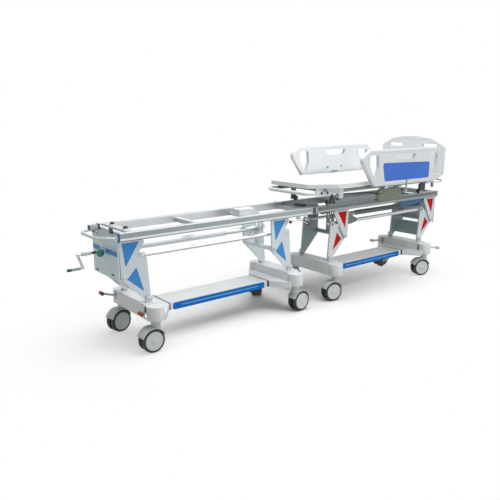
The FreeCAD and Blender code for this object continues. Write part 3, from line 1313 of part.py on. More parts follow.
def build():
    for side in ("a", "b"):
        base_frame(side)
        shelf(side)
        beam_covers(side)
        brake_bar(side)
        outer_levers(side)
        inner_levers(side)
        tie_rods(side)
        nut_tube(side)
        rails(side)
        leg_brackets(side)
        cross_members(side)
        end_panel(side)
    crank("a")
    crank_grip("a")
    plain_screw("b")
    bumper("a")
    end_stops("a")
    dock_box("a")
    dock_release("a")
    fifth_set_a()
    fifth_set_b()
    castors()
    carriage()
    rollers("rollers_left", "roller_left_x")
    rollers("rollers_right", "roller_right_x")
    deck()
    backrest()
    side_rail("side_rail_near", -1)
    side_rail("side_rail_far", 1)
    headboard()
    oval_cover()


def check_document():
    for obj in doc.Objects:
        if "Invalid" in obj.State or "Error" in obj.State:
            raise RuntimeError(f"{obj.Label} ({obj.TypeId}) is in state {obj.State}")
    for piece in nodes:
        if piece.Shape.isNull() or not piece.Shape.isValid() or not piece.Shape.Solids:
            raise RuntimeError(f"{piece.Label} has no valid solid")


build()
doc.recompute()
check_document()
os.makedirs("parts", exist_ok=True)
for piece in nodes:
    piece.Shape.exportStep(f"parts/{piece.Label}.step")
print(len(nodes), "nodes written")
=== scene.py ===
# %% [markdown]
# # Docking patient-transfer stretcher
# Two trolleys on castors stand end to end, and a patient platform rolls from the rails of one to
# the rails of the other. The measured parts come from the CAD frame. This lesson gives each of them
# its finish, and adds the trim that a CAD model leaves out: coloured insets, stripes, bolts, caps.

import json
import math

import bmesh
import bpy
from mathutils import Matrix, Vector

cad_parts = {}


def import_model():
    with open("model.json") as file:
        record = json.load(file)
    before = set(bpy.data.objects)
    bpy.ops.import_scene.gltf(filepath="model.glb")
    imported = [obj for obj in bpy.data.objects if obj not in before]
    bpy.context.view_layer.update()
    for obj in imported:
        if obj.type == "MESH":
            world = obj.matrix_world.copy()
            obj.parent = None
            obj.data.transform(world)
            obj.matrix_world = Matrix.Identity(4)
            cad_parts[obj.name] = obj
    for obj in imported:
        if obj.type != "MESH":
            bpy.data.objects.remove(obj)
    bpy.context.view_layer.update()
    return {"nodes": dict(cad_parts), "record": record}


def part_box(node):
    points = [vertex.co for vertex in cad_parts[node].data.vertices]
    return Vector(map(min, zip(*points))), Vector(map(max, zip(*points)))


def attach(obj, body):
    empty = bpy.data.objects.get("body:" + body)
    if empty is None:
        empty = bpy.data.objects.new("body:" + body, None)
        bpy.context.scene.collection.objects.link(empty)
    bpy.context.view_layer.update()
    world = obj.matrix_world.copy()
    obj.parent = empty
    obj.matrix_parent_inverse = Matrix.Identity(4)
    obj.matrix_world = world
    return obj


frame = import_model()

# %% [markdown]
# ## Where things are
# Both trolleys are drawn from the docking plane between them, so most places are easiest to say as
# a distance outward from that plane. Trolley A lies toward -X and trolley B toward +X. The plane is
# where the two pairs of rails meet, and the frame says where that is. The near side is toward -Y.

# %% Docking plane
dock_x = (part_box("rails_a")[1].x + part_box("rails_b")[0].x) / 2
WAY = {"a": -1, "b": 1}
HANDS = ((-1, "near"), (1, "far"))


def out(side, distance):
    """World X of a place that far outward from the docking plane, in metres."""
    return dock_x + WAY[side] * distance


def at(distance):
    """World X of a place on the platform, measured toward trolley B."""
    return out("b", distance)


print("docking plane at x =", round(dock_x, 4))

# %% [markdown]
# ## Shader maths in plain Python
# A procedural finish is a small sum: a colour, plus a bit of noise, minus a scuff here and there.
# Wiring Math nodes by hand hides that sum, so a wrapped socket overloads the operators, and one
# method adds any other node from its type, its settings and the values of its sockets.

# %% Wrapped sockets
class Wire:
    """The output of a shader node, usable in a Python expression."""

    def __init__(self, graph, socket):
        self.graph = graph
        self.socket = socket

    def maths(self, operation, *values):
        return self.graph.node("ShaderNodeMath", {"operation": operation}, dict(enumerate(values)))

    def __add__(self, other):
        return self.maths("ADD", self, other)

    __radd__ = __add__

    def __sub__(self, other):
        return self.maths("SUBTRACT", self, other)

    def __rsub__(self, other):
        return self.maths("SUBTRACT", other, self)

    def __mul__(self, other):
        return self.maths("MULTIPLY", self, other)

    __rmul__ = __mul__

    def __pow__(self, other):
        return self.maths("POWER", self, other)

    def __rpow__(self, other):
        return self.maths("POWER", other, self)

    def __lt__(self, other):
        return self.maths("LESS_THAN", self, other)

    def __gt__(self, other):
        return self.maths("GREATER_THAN", self, other)

    def size(self):
        return self.maths("ABSOLUTE", self)

    def between(self, low, high):
        """0 below low, 1 above high, and a smooth step from one to the other."""
        return self.graph.node("ShaderNodeMapRange", {"interpolation_type": "SMOOTHSTEP"},
                               {"Value": self, "From Min": low, "From Max": high})


class Graph:
    """A node tree that takes every node in the same way."""

    def __init__(self, tree):
        self.tree = tree

    def node(self, kind, settings=None, sockets=None, output=0):
        """Add a node: settings first, then its sockets by name or number."""
        node = self.tree.nodes.new(kind)
        for setting, value in (settings or {}).items():
            setattr(node, setting, value)
        for socket, value in (sockets or {}).items():
            if isinstance(value, Wire):
                self.tree.links.new(value.socket, node.inputs[socket])
            else:
                node.inputs[socket].default_value = value
        return Wire(self, node.outputs[output])

    def rays(self):
        """Three wires that are 1 for what the camera, metal and glass look at."""
        return [self.node("ShaderNodeLightPath", output=ray)
                for ray in ("Is Camera Ray", "Is Glossy Ray", "Is Transmission Ray")]


class Finish(Graph):
    """A material: its shader's constants, and the nodes that vary over the surface."""

    def __init__(self, name, color, **constants):
        self.name = name
        self.material = bpy.data.materials.new(name)
        self.material.use_nodes = True
        super().__init__(self.material.node_tree)
        self.shader = self.tree.nodes["Principled BSDF"]
        self.color = (*color, 1.0)
        self.shader.inputs["Base Color"].default_value = self.color
        for socket, value in constants.items():
            self.shader.inputs[socket.replace("_", " ")].default_value = value
        self.material.diffuse_color = self.color

    def place(self):
        """Position on the piece, in metres; it stays with the piece when that moves."""
        return self.node("ShaderNodeTexCoord", output="Object")

    def axis(self, number):
        """One of the three numbers of the position."""
        return self.node("ShaderNodeSeparateXYZ", None, {0: self.place()}, number)

    def noise(self, scale, detail=3.0, stretch=(1, 1, 1)):
        """Soft noise from 0 to 1; scale is in lumps a metre, stretch lengthens them."""
        place = self.node("ShaderNodeVectorMath", {"operation": "MULTIPLY"},
                          {0: self.place(), 1: tuple(1 / s for s in stretch)})
        return self.node("ShaderNodeTexNoise", None,
                         {"Vector": place, "Scale": scale, "Detail": detail})

    def mix(self, share, first, second):
        """Blend two colours by a share from 0 to 1."""
        first, second = (color if isinstance(color, Wire) else (*color[:3], 1.0)
                         for color in (first, second))
        return self.node("ShaderNodeMix", {"data_type": "RGBA"},
                         {0: share, 6: first, 7: second}, output=2)

    def feed(self, **wires):
        """Link a wire to a socket of the shader."""
        for socket, wire in wires.items():
            self.tree.links.new(wire.socket, self.shader.inputs[socket.replace("_", " ")])
        return self

    def bump(self, height, depth, strength):
        """Raise the surface by a height from 0 to 1; depth is in metres."""
        normal = self.node("ShaderNodeBump", None,
                           {"Strength": strength, "Distance": depth, "Height": height})
        return self.feed(Normal=normal)


def tinted(color, share):
    """The same colour, brighter or darker."""
    return tuple(c * share for c in color)


print("wrapped sockets ready")

# %% [markdown]
# ## Finishes of the moulded and painted pieces
# Moulded covers and boards have a fine pebble texture, a slight drift of colour over a large piece,
# and faint scuffs. Powder coat has the same drift and a coarser orange peel. A single colour would
# look like a render, so each finish gets these two or three scales of change.

# %% Moulded plastics
def moulded(name, color, gloss, pebble=2600.0, shine=0.5):
    """Satin plastic with a fine pebble, faint cloudiness and scuffs."""
    finish = Finish(name, color, Roughness=gloss, Specular_IOR_Level=shine)
    cloud = finish.noise(3.0, 4.0)
    scuff = finish.noise(34.0, 5.0, (1, 1, 3)).between(0.60, 0.78)
    shade = finish.mix(cloud.between(0.3, 0.75), color, tinted(color, 0.9259))
    shade = finish.mix(scuff * 0.25, shade, tinted(color, 0.9))
    grain = finish.noise(pebble, 2.0)
    finish.feed(Base_Color=shade, Roughness=gloss + 0.10 * scuff + 0.05 * (grain - 0.5))
    return finish.bump(grain, 0.00006, 0.5)


white_plastic = moulded("white_plastic", (0.79, 0.815, 0.82), 0.34)
# A darker copy of the white plastic for the side rails and headboard: painted shade on their
# upright faces.
board_white = moulded("board_white", (0.695, 0.715, 0.73), 0.36)
grey_plastic = moulded("grey_plastic", (0.62, 0.655, 0.66), 0.42)
black_plastic = moulded("black_plastic", (0.035, 0.036, 0.04), 0.48)
green_plastic = moulded("green_plastic", (0.200, 0.240, 0.170), 0.40)
teal_grip = moulded("teal_grip", (0.36, 0.42, 0.41), 0.30)
print("moulded plastics made")


# %% Painted steel
def powder_coat(name, color, gloss=0.38, inner_shade=None, face=0.0, shine=0.5):
    """Powder coat with orange peel and faint tints; faces nearer the middle may get a darker
    painted shade.
    """
    finish = Finish(name, color, Roughness=gloss, Coat_Weight=0.24 * shine, Coat_Roughness=0.25,
                    Specular_IOR_Level=shine)
    peel = finish.noise(900.0, 1.0)
    cloud = finish.noise(6.0, 3.0)
    shade = finish.mix(cloud.between(0.35, 0.7), color, tinted(color, 0.95))
    # Faces nearer the middle than face are painted darker: painted shade on the inner faces.
    if inner_shade:
        shade = finish.mix(finish.axis(1).size() < face, shade, inner_shade)
    finish.feed(Base_Color=shade, Roughness=gloss + 0.08 * (cloud - 0.5))
    return finish.bump(peel, 0.00008, 0.45)


light_paint = powder_coat("light_paint", (0.70, 0.735, 0.76))
dark_paint = powder_coat("dark_paint", (0.07, 0.078, 0.09))
blue_paint = powder_coat("blue_paint", (0.062, 0.310, 0.700), 0.40, shine=0.15)
red_paint = powder_coat("red_paint", (0.560, 0.003, 0.010), 0.45, shine=0.10)
print("painted finishes made")


# %% [markdown]
# ## Metals
# The rails are drawn aluminium: fine lines run along them, so both the roughness and the bump use
# noise stretched along X. Zinc-plated steel is duller and blotchy instead.

# %% Metals
def drawn_metal(name, color, gloss):
    """Metal with drawing lines along X."""
    finish = Finish(name, color, Metallic=1.0, Roughness=gloss)
    lines = finish.noise(1400.0, 3.0, (60.0, 1.0, 1.0))
    cloud = finish.noise(4.0, 3.0)
    shade = finish.mix(lines.between(0.3, 0.7), color, tinted(color, 0.93))
    finish.feed(Base_Color=shade, Roughness=gloss + 0.14 * (lines - 0.5) + 0.08 * (cloud - 0.5))
    return finish.bump(lines, 0.00005, 0.4)


def plated(name, color, gloss):
    """Zinc-plated steel: bright, with soft blotches and fine scratches."""
    finish = Finish(name, color, Metallic=1.0, Roughness=gloss)
    blotch = finish.noise(45.0, 4.0)
    scratch = finish.noise(260.0, 4.0, (1, 5, 1)).between(0.55, 0.72)
    shade = finish.mix(blotch.between(0.35, 0.65), color, tinted(color, 0.85))
    finish.feed(Base_Color=shade, Roughness=gloss + 0.12 * (blotch - 0.5) + 0.08 * scratch)
    return finish.bump(scratch, 0.00004, 0.3)


aluminium = drawn_metal("aluminium", (0.62, 0.645, 0.66), 0.36)
# A darker copy of the aluminium for trolley B's rails and nut tube: painted shade.
dull_aluminium = drawn_metal("dull_aluminium", (0.36, 0.40, 0.40), 0.42)
steel = plated("steel", (0.60, 0.61, 0.62), 0.28)
print("metals made")


# %% [markdown]
# ## Tyres
# Castor tyres are dark polyurethane, smooth but dulled by the floor. Dust is lighter and rougher.

# %% Rubber
def rubber(name, color):
    """Smooth rubber with lighter, rougher dust."""
    finish = Finish(name, color, Roughness=0.55)
    dust = finish.noise(60.0, 5.0).between(0.45, 0.75)
    shade = finish.mix(dust * 0.35, color, (0.17, 0.165, 0.16))
    finish.feed(Base_Color=shade, Roughness=0.48 + 0.22 * dust)
    return finish.bump(finish.noise(700.0, 3.0), 0.0001, 0.4)


tyre = rubber("tyre", (0.028, 0.029, 0.032))
print("rubber made")

# %% [markdown]
# ## Dress the CAD pieces
# Every CAD piece keeps its shape. Real edges are never knife sharp, and a lit edge is what tells
# the eye that a piece is solid, so each gets a small rounded edge from a Bevel modifier. The mesh
# comes in with its faces apart, so a Weld modifier joins them first. Levers and brackets are
# painted darker on their inner faces, nearer the middle: painted shade, so their coat changes at
# that face.

# %% Paint of single pieces
FINISHES = {finish.name: finish for finish in
            (white_plastic, grey_plastic, light_paint, dark_paint, aluminium, steel, tyre,
             black_plastic, green_plastic, teal_grip)}
LEVER_FACE, BRACKET_FACE = 0.178, 0.197
# Colours of the painted shade on the inner faces of levers and brackets.
INNER_SHADE = {"a": (0.74, 0.81, 0.84), "b": (0.33, 0.42, 0.42)}
LEVER_TINT = {"a": (0.72, 0.80, 0.84), "b": (0.74, 0.78, 0.80)}
# Trolley B's rails and nut tube take the darker aluminium as painted shade.
SPECIAL = {"rails_b": dull_aluminium, "nut_tube_b": dull_aluminium, "side_rail_near": board_white,
           "side_rail_far": board_white, "headboard": board_white,
           "carriage": powder_coat("carriage_paint", (0.30, 0.345, 0.345)),
           "end_panel_a": powder_coat("end_panel_paint", (0.66, 0.79, 0.84))}
for side in "ab":
    levers, brackets = (powder_coat(f"{name}_paint_{side}", LEVER_TINT[side], 0.38, INNER_SHADE[side],
                                    face)
                        for name, face in (("lever", LEVER_FACE), ("bracket", BRACKET_FACE)))
    SPECIAL[f"outer_levers_{side}"] = SPECIAL[f"inner_levers_{side}"] = levers
    SPECIAL[f"leg_brackets_{side}"] = brackets
    SPECIAL[f"cross_members_{side}"] = powder_coat(f"member_paint_{side}", (0.58, 0.62, 0.64))
print(len(SPECIAL), "pieces have a finish of their own")

# %% CAD pieces
EDGE_RADIUS = {"white_plastic": 0.003, "grey_plastic": 0.002, "light_paint": 0.0015,
               "aluminium": 0.001}
SMALL_EDGE, EDGE_ANGLE, EDGE_STEPS, WELD_GAP = 0.0008, 35, 3, 0.00002
BIG_EDGE = {"side_rail_near": 0.012, "side_rail_far": 0.012, "headboard": 0.011, "deck": 0.012,
            "backrest": 0.012, "shelf_a": 0.005, "shelf_b": 0.005, "beam_covers_a": 0.007,
            "beam_covers_b": 0.007}


def round_edges(obj, radius, angle, segments):
    """Round the edges that turn by more than an angle."""
    bevel = obj.modifiers.new("round edges", "BEVEL")
    bevel.width = radius
    bevel.segments = segments
    bevel.limit_method = "ANGLE"
    bevel.angle_limit = math.radians(angle)
    bevel.harden_normals = True
    bevel.use_clamp_overlap = True


for name, obj in frame["nodes"].items():
    slot = obj.material_slots[0].material.name.split(".")[0]
    obj.material_slots[0].material = SPECIAL.get(name, FINISHES[slot]).material
    obj.modifiers.new("join faces", "WELD").merge_threshold = WELD_GAP
    round_edges(obj, BIG_EDGE.get(name, EDGE_RADIUS.get(slot, SMALL_EDGE)), EDGE_ANGLE, EDGE_STEPS)
print(len(frame["nodes"]), "CAD pieces dressed")

# %% [markdown]
# ## Trim colours
# The coloured trim is moulded or painted like the rest, only in its own shades.

# %% Trim finishes
navy_plastic = moulded("navy_plastic", (0.022, 0.040, 0.085), 0.36)
stripe_blue = moulded("stripe_blue", (0.003, 0.170, 0.600), 0.38, shine=0.15)
stripe_pale = moulded("stripe_pale", (0.200, 0.500, 0.800), 0.34)
panel_blue = moulded("panel_blue", (0.055, 0.170, 0.620), 0.42, shine=0.2)
plate_blue = moulded("plate_blue", (0.012, 0.120, 0.300), 0.36)
disc_grey = moulded("disc_grey", (0.68, 0.715, 0.70), 0.40)
strip_grey = moulded("strip_grey", (0.270, 0.310, 0.325), 0.46)
strip_pale = moulded("strip_pale", (0.37, 0.425, 0.43), 0.46)
strip_dark = moulded("strip_dark", (0.165, 0.200, 0.200), 0.46)
dark_red = moulded("dark_red", (0.150, 0.006, 0.010), 0.26)
green_gloss = moulded("green_gloss", (0.010, 0.230, 0.200), 0.18, 1200.0)
green_dark = moulded("green_dark", (0.012, 0.110, 0.075), 0.28)
rust_rubber = rubber("rust_rubber", (0.230, 0.050, 0.035))

# %% [markdown]
# ## Tools for the trim
# The trim is cut plate, turned bosses and bent rod, as it would be in a workshop. A few mesh
# helpers follow the same three ways of making: push an outline through, turn a profile round an
# axis, and sweep a circle along a line. Places are kept in metres, in the frame of the CAD.

# %% Outlines
def rounded(corners, radius, steps=5):
    """A closed outline with every corner rounded."""
    points = []
    for i, corner in enumerate(corners):
        here = Vector(corner)
        before = Vector(corners[i - 1]) - here
        after = Vector(corners[(i + 1) % len(corners)]) - here
        turn = math.pi - before.angle(after)
        if turn < 0.02:
            points.append(tuple(here))
            continue
        back = min(radius * math.tan(turn / 2), before.length * 0.49, after.length * 0.49)
        r = back / math.tan(turn / 2)
        bisector = (before.normalized() + after.normalized()).normalized()
        centre = here + bisector * (r / math.cos(turn / 2))
        start = here + before.normalized() * back - centre
        end = here + after.normalized() * back - centre
        for k in range(steps + 1):
            arm = start.lerp(end, k / steps).normalized() * r
            points.append(tuple(centre + arm))
    return points


def shrunk(corners, by):
    """The same corners moved inward by a distance; a negative one moves them outward."""
    area = sum(a[0] * b[1] - b[0] * a[1] for a, b in zip(corners, corners[1:] + corners[:1]))
    side = 1 if area > 0 else -1
    moved = []
    for i, corner in enumerate(corners):
        here = Vector(corner)
        into = (here - Vector(corners[i - 1])).normalized()
        away = (Vector(corners[(i + 1) % len(corners)]) - here).normalized()
        normal_in = Vector((-into.y, into.x)) * side
        normal_out = Vector((-away.y, away.x)) * side
        miter = (normal_in + normal_out).normalized()
        moved.append(tuple(here + miter * (by / max(0.2, miter.dot(normal_in)))))
    return moved


def world(side, corners):
    """Corners given outward from the docking plane, in world X."""
    return [(out(side, u), z) for u, z in corners]


def oblong(first, second, radius=None, steps=8):
    """Rectangle between two corners with rounded corners, fully round by default."""
    (x0, x1), (z0, z1) = (sorted(pair) for pair in zip(first, second))
    if radius is None:
        radius = min(x1 - x0, z1 - z0) / 2 * 0.98
    return rounded([(x0, z0), (x1, z0), (x1, z1), (x0, z1)], radius, steps)


def eased(points, radius, steps=6):
    """A line with its bends eased to a radius."""
    smooth = [Vector(points[0])]
    for before, here, after in zip(points, points[1:], points[2:]):
        here = Vector(here)
        back = Vector(before) - here
        on = Vector(after) - here
        cut = min(radius, back.length * 0.45, on.length * 0.45)
        start, end = here + back.normalized() * cut, here + on.normalized() * cut
        for k in range(steps + 1):
            t = k / steps
            smooth.append(start * (1 - t) ** 2 + here * 2 * t * (1 - t) + end * t * t)
    return smooth + [Vector(points[-1])]


print("a rounded square has", len(rounded([(0, 0), (1, 0), (1, 1), (0, 1)], 0.1)), "points")


# %% Places
AXES = {"x": (1, 2, 0), "y": (0, 2, 1), "z": (0, 1, 2)}


def across_axis(axis, point, along):
    """Place of a flat point that lies that far along an axis."""
    place = [0.0, 0.0, 0.0]
    a, b, c = AXES[axis]
    place[a], place[b], place[c] = point[0], point[1], along
    return place


def frame_of(direction):
    """Two directions across a line."""
    across = direction.orthogonal().normalized()
    if abs(direction.z) < 0.99:
        across = Vector((0, 0, 1)).cross(direction).normalized()
    return across, direction.cross(across)


def circle(across, over, sides, tall=1.0):
    """Arms from the middle of a circle, or of an oval, to its points."""
    angles = (2 * math.pi * k / sides for k in range(sides))
    return [across * math.cos(angle) + over * math.sin(angle) * tall for angle in angles]


print("a point 1 along x and 2 up, 3 along y, lies at", across_axis("y", (1, 2), 3))

# %% [markdown]
# ## Blanks
# A blank is a mesh in the making. Each method adds one shape and gives the blank back, so that a
# piece reads as a list of what it is made of and ends with its name, its finish and its body.

# %% Round shapes
class RoundWork:
    """Shapes that are skinned over rings of points."""

    def __init__(self):
        self.bm = bmesh.new()

    def ring(self, places):
        return [self.bm.verts.new(place) for place in places]

    def skin(self, first, second):
        """Faces between two rings; either may be a single point."""
        for k in range(max(len(first), len(second))):
            corners = [first[k % len(first)], first[(k + 1) % len(first)],
                       second[(k + 1) % len(second)], second[k % len(second)]]
            self.bm.faces.new(list(dict.fromkeys(corners)))

    def capped(self, rings):
        """Skin a row of rings and close its ends."""
        for first, second in zip(rings, rings[1:]):
            self.skin(first, second)
        for ring in (rings[0], rings[-1]):
            if len(ring) > 1:
                self.bm.faces.new(ring)
        return self

    def turned(self, profile, centre, direction, sides=40):
        """Turn a profile of (distance along, radius) round a line through centre."""
        direction = Vector(direction).normalized()
        arms = circle(*frame_of(direction), sides)
        rings = []
        for along, radius in profile:
            middle = Vector(centre) + direction * along
            rings.append(self.ring([middle + arm * radius for arm in arms] if radius > 0
                                   else [middle]))
        return self.capped(rings)

    def swept(self, points, radius, sides=16, tall=1.0):
        """Sweep a circle, or an oval when tall isn't 1, along a line."""
        points = [Vector(p) for p in points]
        rings, across = [], None
        for i, point in enumerate(points):
            ahead = points[min(i + 1, len(points) - 1)] - points[max(i - 1, 0)]
            ahead.normalize()
            if across is None:
                across, over = frame_of(ahead)
            else:
                across = (across - ahead * across.dot(ahead)).normalized()
                over = ahead.cross(across)
            rings.append(self.ring(point + arm * radius
                                   for arm in circle(across, over, sides, tall)))
        return self.capped(rings)

    def hoop(self, axis, outline, middle, flat, thick, sides=20):
        """Sweep an oval round a closed outline that lies across an axis."""
        turns = [2 * math.pi * k / sides for k in range(sides)]
        rings = []
        for i, point in enumerate(outline):
            ahead = Vector(outline[(i + 1) % len(outline)]) - Vector(outline[i - 1])
            aside = Vector((ahead.y, -ahead.x)).normalized() * flat
            rings.append(self.ring(across_axis(axis, Vector(point) + aside * math.cos(turn),
                                               middle + thick * math.sin(turn))
                                   for turn in turns))
        for i, ring in enumerate(rings):
            self.skin(rings[i - 1], ring)
        return self


print("round shapes ready")


# %% Blanks
class Blank(RoundWork):
    """A mesh in the making, which becomes a piece."""

    def plate(self, axis, outline, low, high, holes=()):
        """Push an outline through between two places on an axis; holes are more outlines."""
        low, high = sorted((low, high))
        edges, first = [], None
        for loop in (outline, *holes):
            ring = self.ring(across_axis(axis, point, low) for point in loop)
            first = first or ring
            if holes:
                edges += [self.bm.edges.new((v, ring[i - 1])) for i, v in enumerate(ring)]
        if holes:
            filled = bmesh.ops.triangle_fill(self.bm, use_beauty=True, use_dissolve=False,
                                             edges=edges)["geom"]
            faces = [f for f in filled if isinstance(f, bmesh.types.BMFace)]
        else:
            faces = [self.bm.faces.new(first)]
        raised = bmesh.ops.extrude_face_region(self.bm, geom=faces, use_keep_orig=True)["geom"]
        bmesh.ops.translate(self.bm, vec=across_axis(axis, (0.0, 0.0), high - low),
                            verts=[v for v in raised if isinstance(v, bmesh.types.BMVert)])
        return self

    def block(self, first, second):
        """A rectangular block between two opposite corners."""
        (x0, x1), (y0, y1), (z0, z1) = (sorted(pair) for pair in zip(first, second))
        return self.plate("z", [(x0, y0), (x1, y0), (x1, y1), (x0, y1)], z0, z1)

    def piece(self, name, finish, body, edge=0.001, angle=30, segments=2):
        """Make it a piece with a finish, rounded edges and a body to ride on."""
        bmesh.ops.recalc_face_normals(self.bm, faces=self.bm.faces)
        mesh = bpy.data.meshes.new(name)
        self.bm.to_mesh(mesh)
        self.bm.free()
        mesh.materials.append(finish.material)
        mesh.shade_smooth()
        mesh.set_sharp_from_angle(angle=math.radians(angle))
        obj = bpy.data.objects.new(name, mesh)
        bpy.context.scene.collection.objects.link(obj)
        if edge:
            round_edges(obj, edge, angle, segments)
        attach(obj, body)


print("slots:", ", ".join(FINISHES))

# %% [markdown]
# ## Where the legs turn
# Each leg is a plate with three corners. The brackets under the rails hold its outer corner, the
# lugs on the base hold its bottom corner, and a tie rod holds its top corner. The boxes of the
# levers and brackets give the pins, since every plate stands its rim's radius beyond its pins.

# %% Pins of the legs
LEVER_RIM, BRACKET_RIM, HEAD_RUN, HEAD_RISE = 0.025, 0.022, 0.165, 0.127


def reach(node, side):
    """Nearest and farthest distance outward from the docking plane, then lowest and highest."""
    low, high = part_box(node)
    near, far = sorted(WAY[side] * (x - dock_x) for x in (low.x, high.x))
    return near, far, low.z, high.z


def leg_pins(side, leg):
    """Apex, head and base pins of a pair of levers, as (outward, z)."""
    near, far, low, _ = reach(f"{leg}_levers_{side}", side)
    apex_z = reach(f"leg_brackets_{side}", side)[2] + BRACKET_RIM
    apex = far - LEVER_RIM
    return ((apex, apex_z), (apex - HEAD_RUN, apex_z + HEAD_RISE),
            (near + LEVER_RIM, low + LEVER_RIM))


lever_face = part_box("outer_levers_a")[1].y
bracket_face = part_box("leg_brackets_a")[1].y
for side in "ab":
    for leg in ("outer", "inner"):
        print(side, leg, [tuple(round(c, 3) for c in pin) for pin in leg_pins(side, leg)])

# %% [markdown]
# ## Coloured insets
# The levers and brackets have a sunk panel in their outer faces. On one trolley it is filled in
# blue and on the other in red with a white line round it, which tells the two ends apart. A real
# one is a thin printed plate pressed into the recess, so each is its own thin plate here.

# %% Insets
INSET_RIM, INSET_DEPTH, LINE_WIDTH = 0.004, 0.003, 0.0050


def inset(name, side, corners, face, body, half):
    """A thin coloured plate in a recess; the red ones lie on a white plate."""
    outline = world(side, corners)
    fill = rounded(shrunk(outline, 0.0006 - INSET_RIM), INSET_RIM)
    lined = side == "b"
    Blank().plate("y", fill, half * (face - INSET_DEPTH), half * (face - 0.0012)).piece(
        name + "_line" * lined, white_plastic if lined else blue_paint, body, 0.0006)
    if lined:
        middle = rounded(shrunk(outline, LINE_WIDTH - INSET_RIM), 0.002)
        Blank().plate("y", middle, half * (face - INSET_DEPTH), half * (face - 0.0006)).piece(
            name, red_paint, body, 0.0006)


def shifted(point, run, rise):
    return point[0] + run, point[1] + rise


inset_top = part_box("leg_brackets_a")[1].z - 0.020
for side in "ab":
    for leg in ("outer", "inner"):
        apex, head, base = leg_pins(side, leg)
        on_lever = [shifted(apex, -0.036, -0.027), shifted(apex, -0.105, 0.045),
                    shifted(base, 0.035, 0.065)]
        on_bracket = [shifted(apex, -0.015, 0.080), (apex[0] + 0.004, inset_top),
                      (apex[0] - 0.120, inset_top)]
        for half, hand in HANDS:
            inset(f"lever_inset_{leg}_{hand}_{side}", side, on_lever, lever_face,
                  f"{leg}_levers_{side}", half)
            inset(f"bracket_inset_{leg}_{hand}_{side}", side, on_bracket, bracket_face,
                  f"frame_{side}", half)
print("bracket insets reach z =", round(inset_top, 3))

# %% [markdown]
# ## Pivot bolts
# Every pin ends in a washer and a bolt head. They are small, but they are where the eye looks to
# see that the legs can turn. Each is a turned washer under a six-sided head with its rim broken.
# The pins of the tie rods pass behind the brackets as the legs fold, so their heads lie flat.

# %% Bolts
FLAT_HEAD = [(-0.0005, 0.0140), (0.0009, 0.0140), (0.0014, 0.0130), (0.0014, 0)]
CAP_HEAD = [(-0.001, 1), (0.0012, 1), (0.0034, 0.8), (0.0040, 0.5), (0.0022, 0.42), (0.0022, 0)]


def bolt(blank, place, direction, washer=0.017, head=0.011, height=0.009):
    """A washer under a six-sided head."""
    blank.turned([(0, washer), (0.0022, washer), (0.0030, washer - 0.001), (0.0030, head * 0.8)],
                 place, direction)
    blank.turned([(0.0025, head), (height * 0.8, head), (height, head * 0.86), (height, 0)],
                 place, direction, sides=6)


def cap_screw(blank, place, direction, radius=0.007):
    """A domed screw with a socket in it."""
    blank.turned([(along, radius * share) for along, share in CAP_HEAD], place, direction,
                 sides=24)


for side in "ab":
    frame_bolts, base_bolts = Blank(), Blank()
    for leg in ("outer", "inner"):
        apex, head, base = leg_pins(side, leg)
        rod_bolts = Blank()
        for half, _ in HANDS:
            for blank, pin in ((frame_bolts, apex), (base_bolts, base)):
                bolt(blank, (out(side, pin[0]), half * bracket_face, pin[1]), (0, half, 0))
            rod_bolts.turned(FLAT_HEAD, (out(side, head[0]), half * lever_face, head[1]),
                             (0, half, 0), sides=32)
        rod_bolts.piece(f"head_bolts_{leg}_{side}", steel if side == "a" else strip_dark,
                        f"{leg}_levers_{side}", 0.0004)
    frame_bolts.piece(f"apex_bolts_{side}", steel, f"frame_{side}", 0.0004)
    base_bolts.piece(f"base_bolts_{side}", steel, f"base_{side}", 0.0004)
print("bolts at |y| =", bracket_face, lever_face)

# %% [markdown]
# ## Wheel discs
# Each castor wheel has a pale disc with a turned hub inside a thin dark tyre. The disc is a lathe
# shape: a shallow dish, a raised rim, a fine groove, and a cap over the axle bolt.

# %% Wheel discs
JOINTS = {joint["name"]: joint for joint in frame["record"]["behaviour"]["joints"]}
DISC = [(-0.004, 0.0775), (0.0012, 0.0775), (0.0022, 0.0760), (0.0022, 0.0700), (0.0010, 0.0690),
        (0.0010, 0.0675), (0.0020, 0.0665), (0.0005, 0.0420), (0.0004, 0.0300), (0.0030, 0.0270),
        (0.0036, 0.0190), (0.0036, 0.0150), (0.0060, 0.0140), (0.0068, 0.0110), (0.0068, 0)]
DISC_SHARE, FIFTH_SHARE = 0.91, {"a": 0.38, "b": 0.62}
WHEEL_HALF = 0.045


def disc_pair(name, joint, half_width, share, finish, body):
    """Discs on both outer faces of a pair of wheels, on the axle of their joint."""
    axle, centre = Vector(JOINTS[joint]["axis"]), Vector(JOINTS[joint]["pos_m"])
    blank = Blank()
    for half, _ in HANDS:
        blank.turned([(along, radius * share) for along, radius in DISC],
                     centre + axle * half_width * half, axle * half, sides=72)
    blank.piece(name, finish, body, edge=0, angle=24)


CASTORS = [f"{row}_{hand}_{side}" for side in "ab" for row in ("outer", "inner")
           for _, hand in HANDS]
for name in CASTORS:
    disc_pair(f"wheel_discs_{name}", f"roll_{name}", WHEEL_HALF, DISC_SHARE, disc_grey,
              f"wheels_{name}")
for side, share in FIFTH_SHARE.items():
    wheel = f"fifth_wheels_{side}"
    disc_pair(f"fifth_discs_{side}", f"{wheel}_spin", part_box(wheel)[1].y, share, black_plastic,
              wheel)
print(len(CASTORS), "castors have discs")

# %% [markdown]
# ## Rails
# The rails are extruded tube. A dark wear strip runs along the foot of each side, grey strips on
# the rest of each outer side darken it as painted shade, the open ends are plugged, and a coloured
# end plate marks where the two trolleys meet.

# %% Rail trim
rail_in, rail_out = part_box("cross_members_a")[1].y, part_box("rails_a")[1].y
rail_end = reach("rails_a", "a")[1]
rail_low, rail_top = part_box("rails_a")[0].z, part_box("rails_a")[1].z
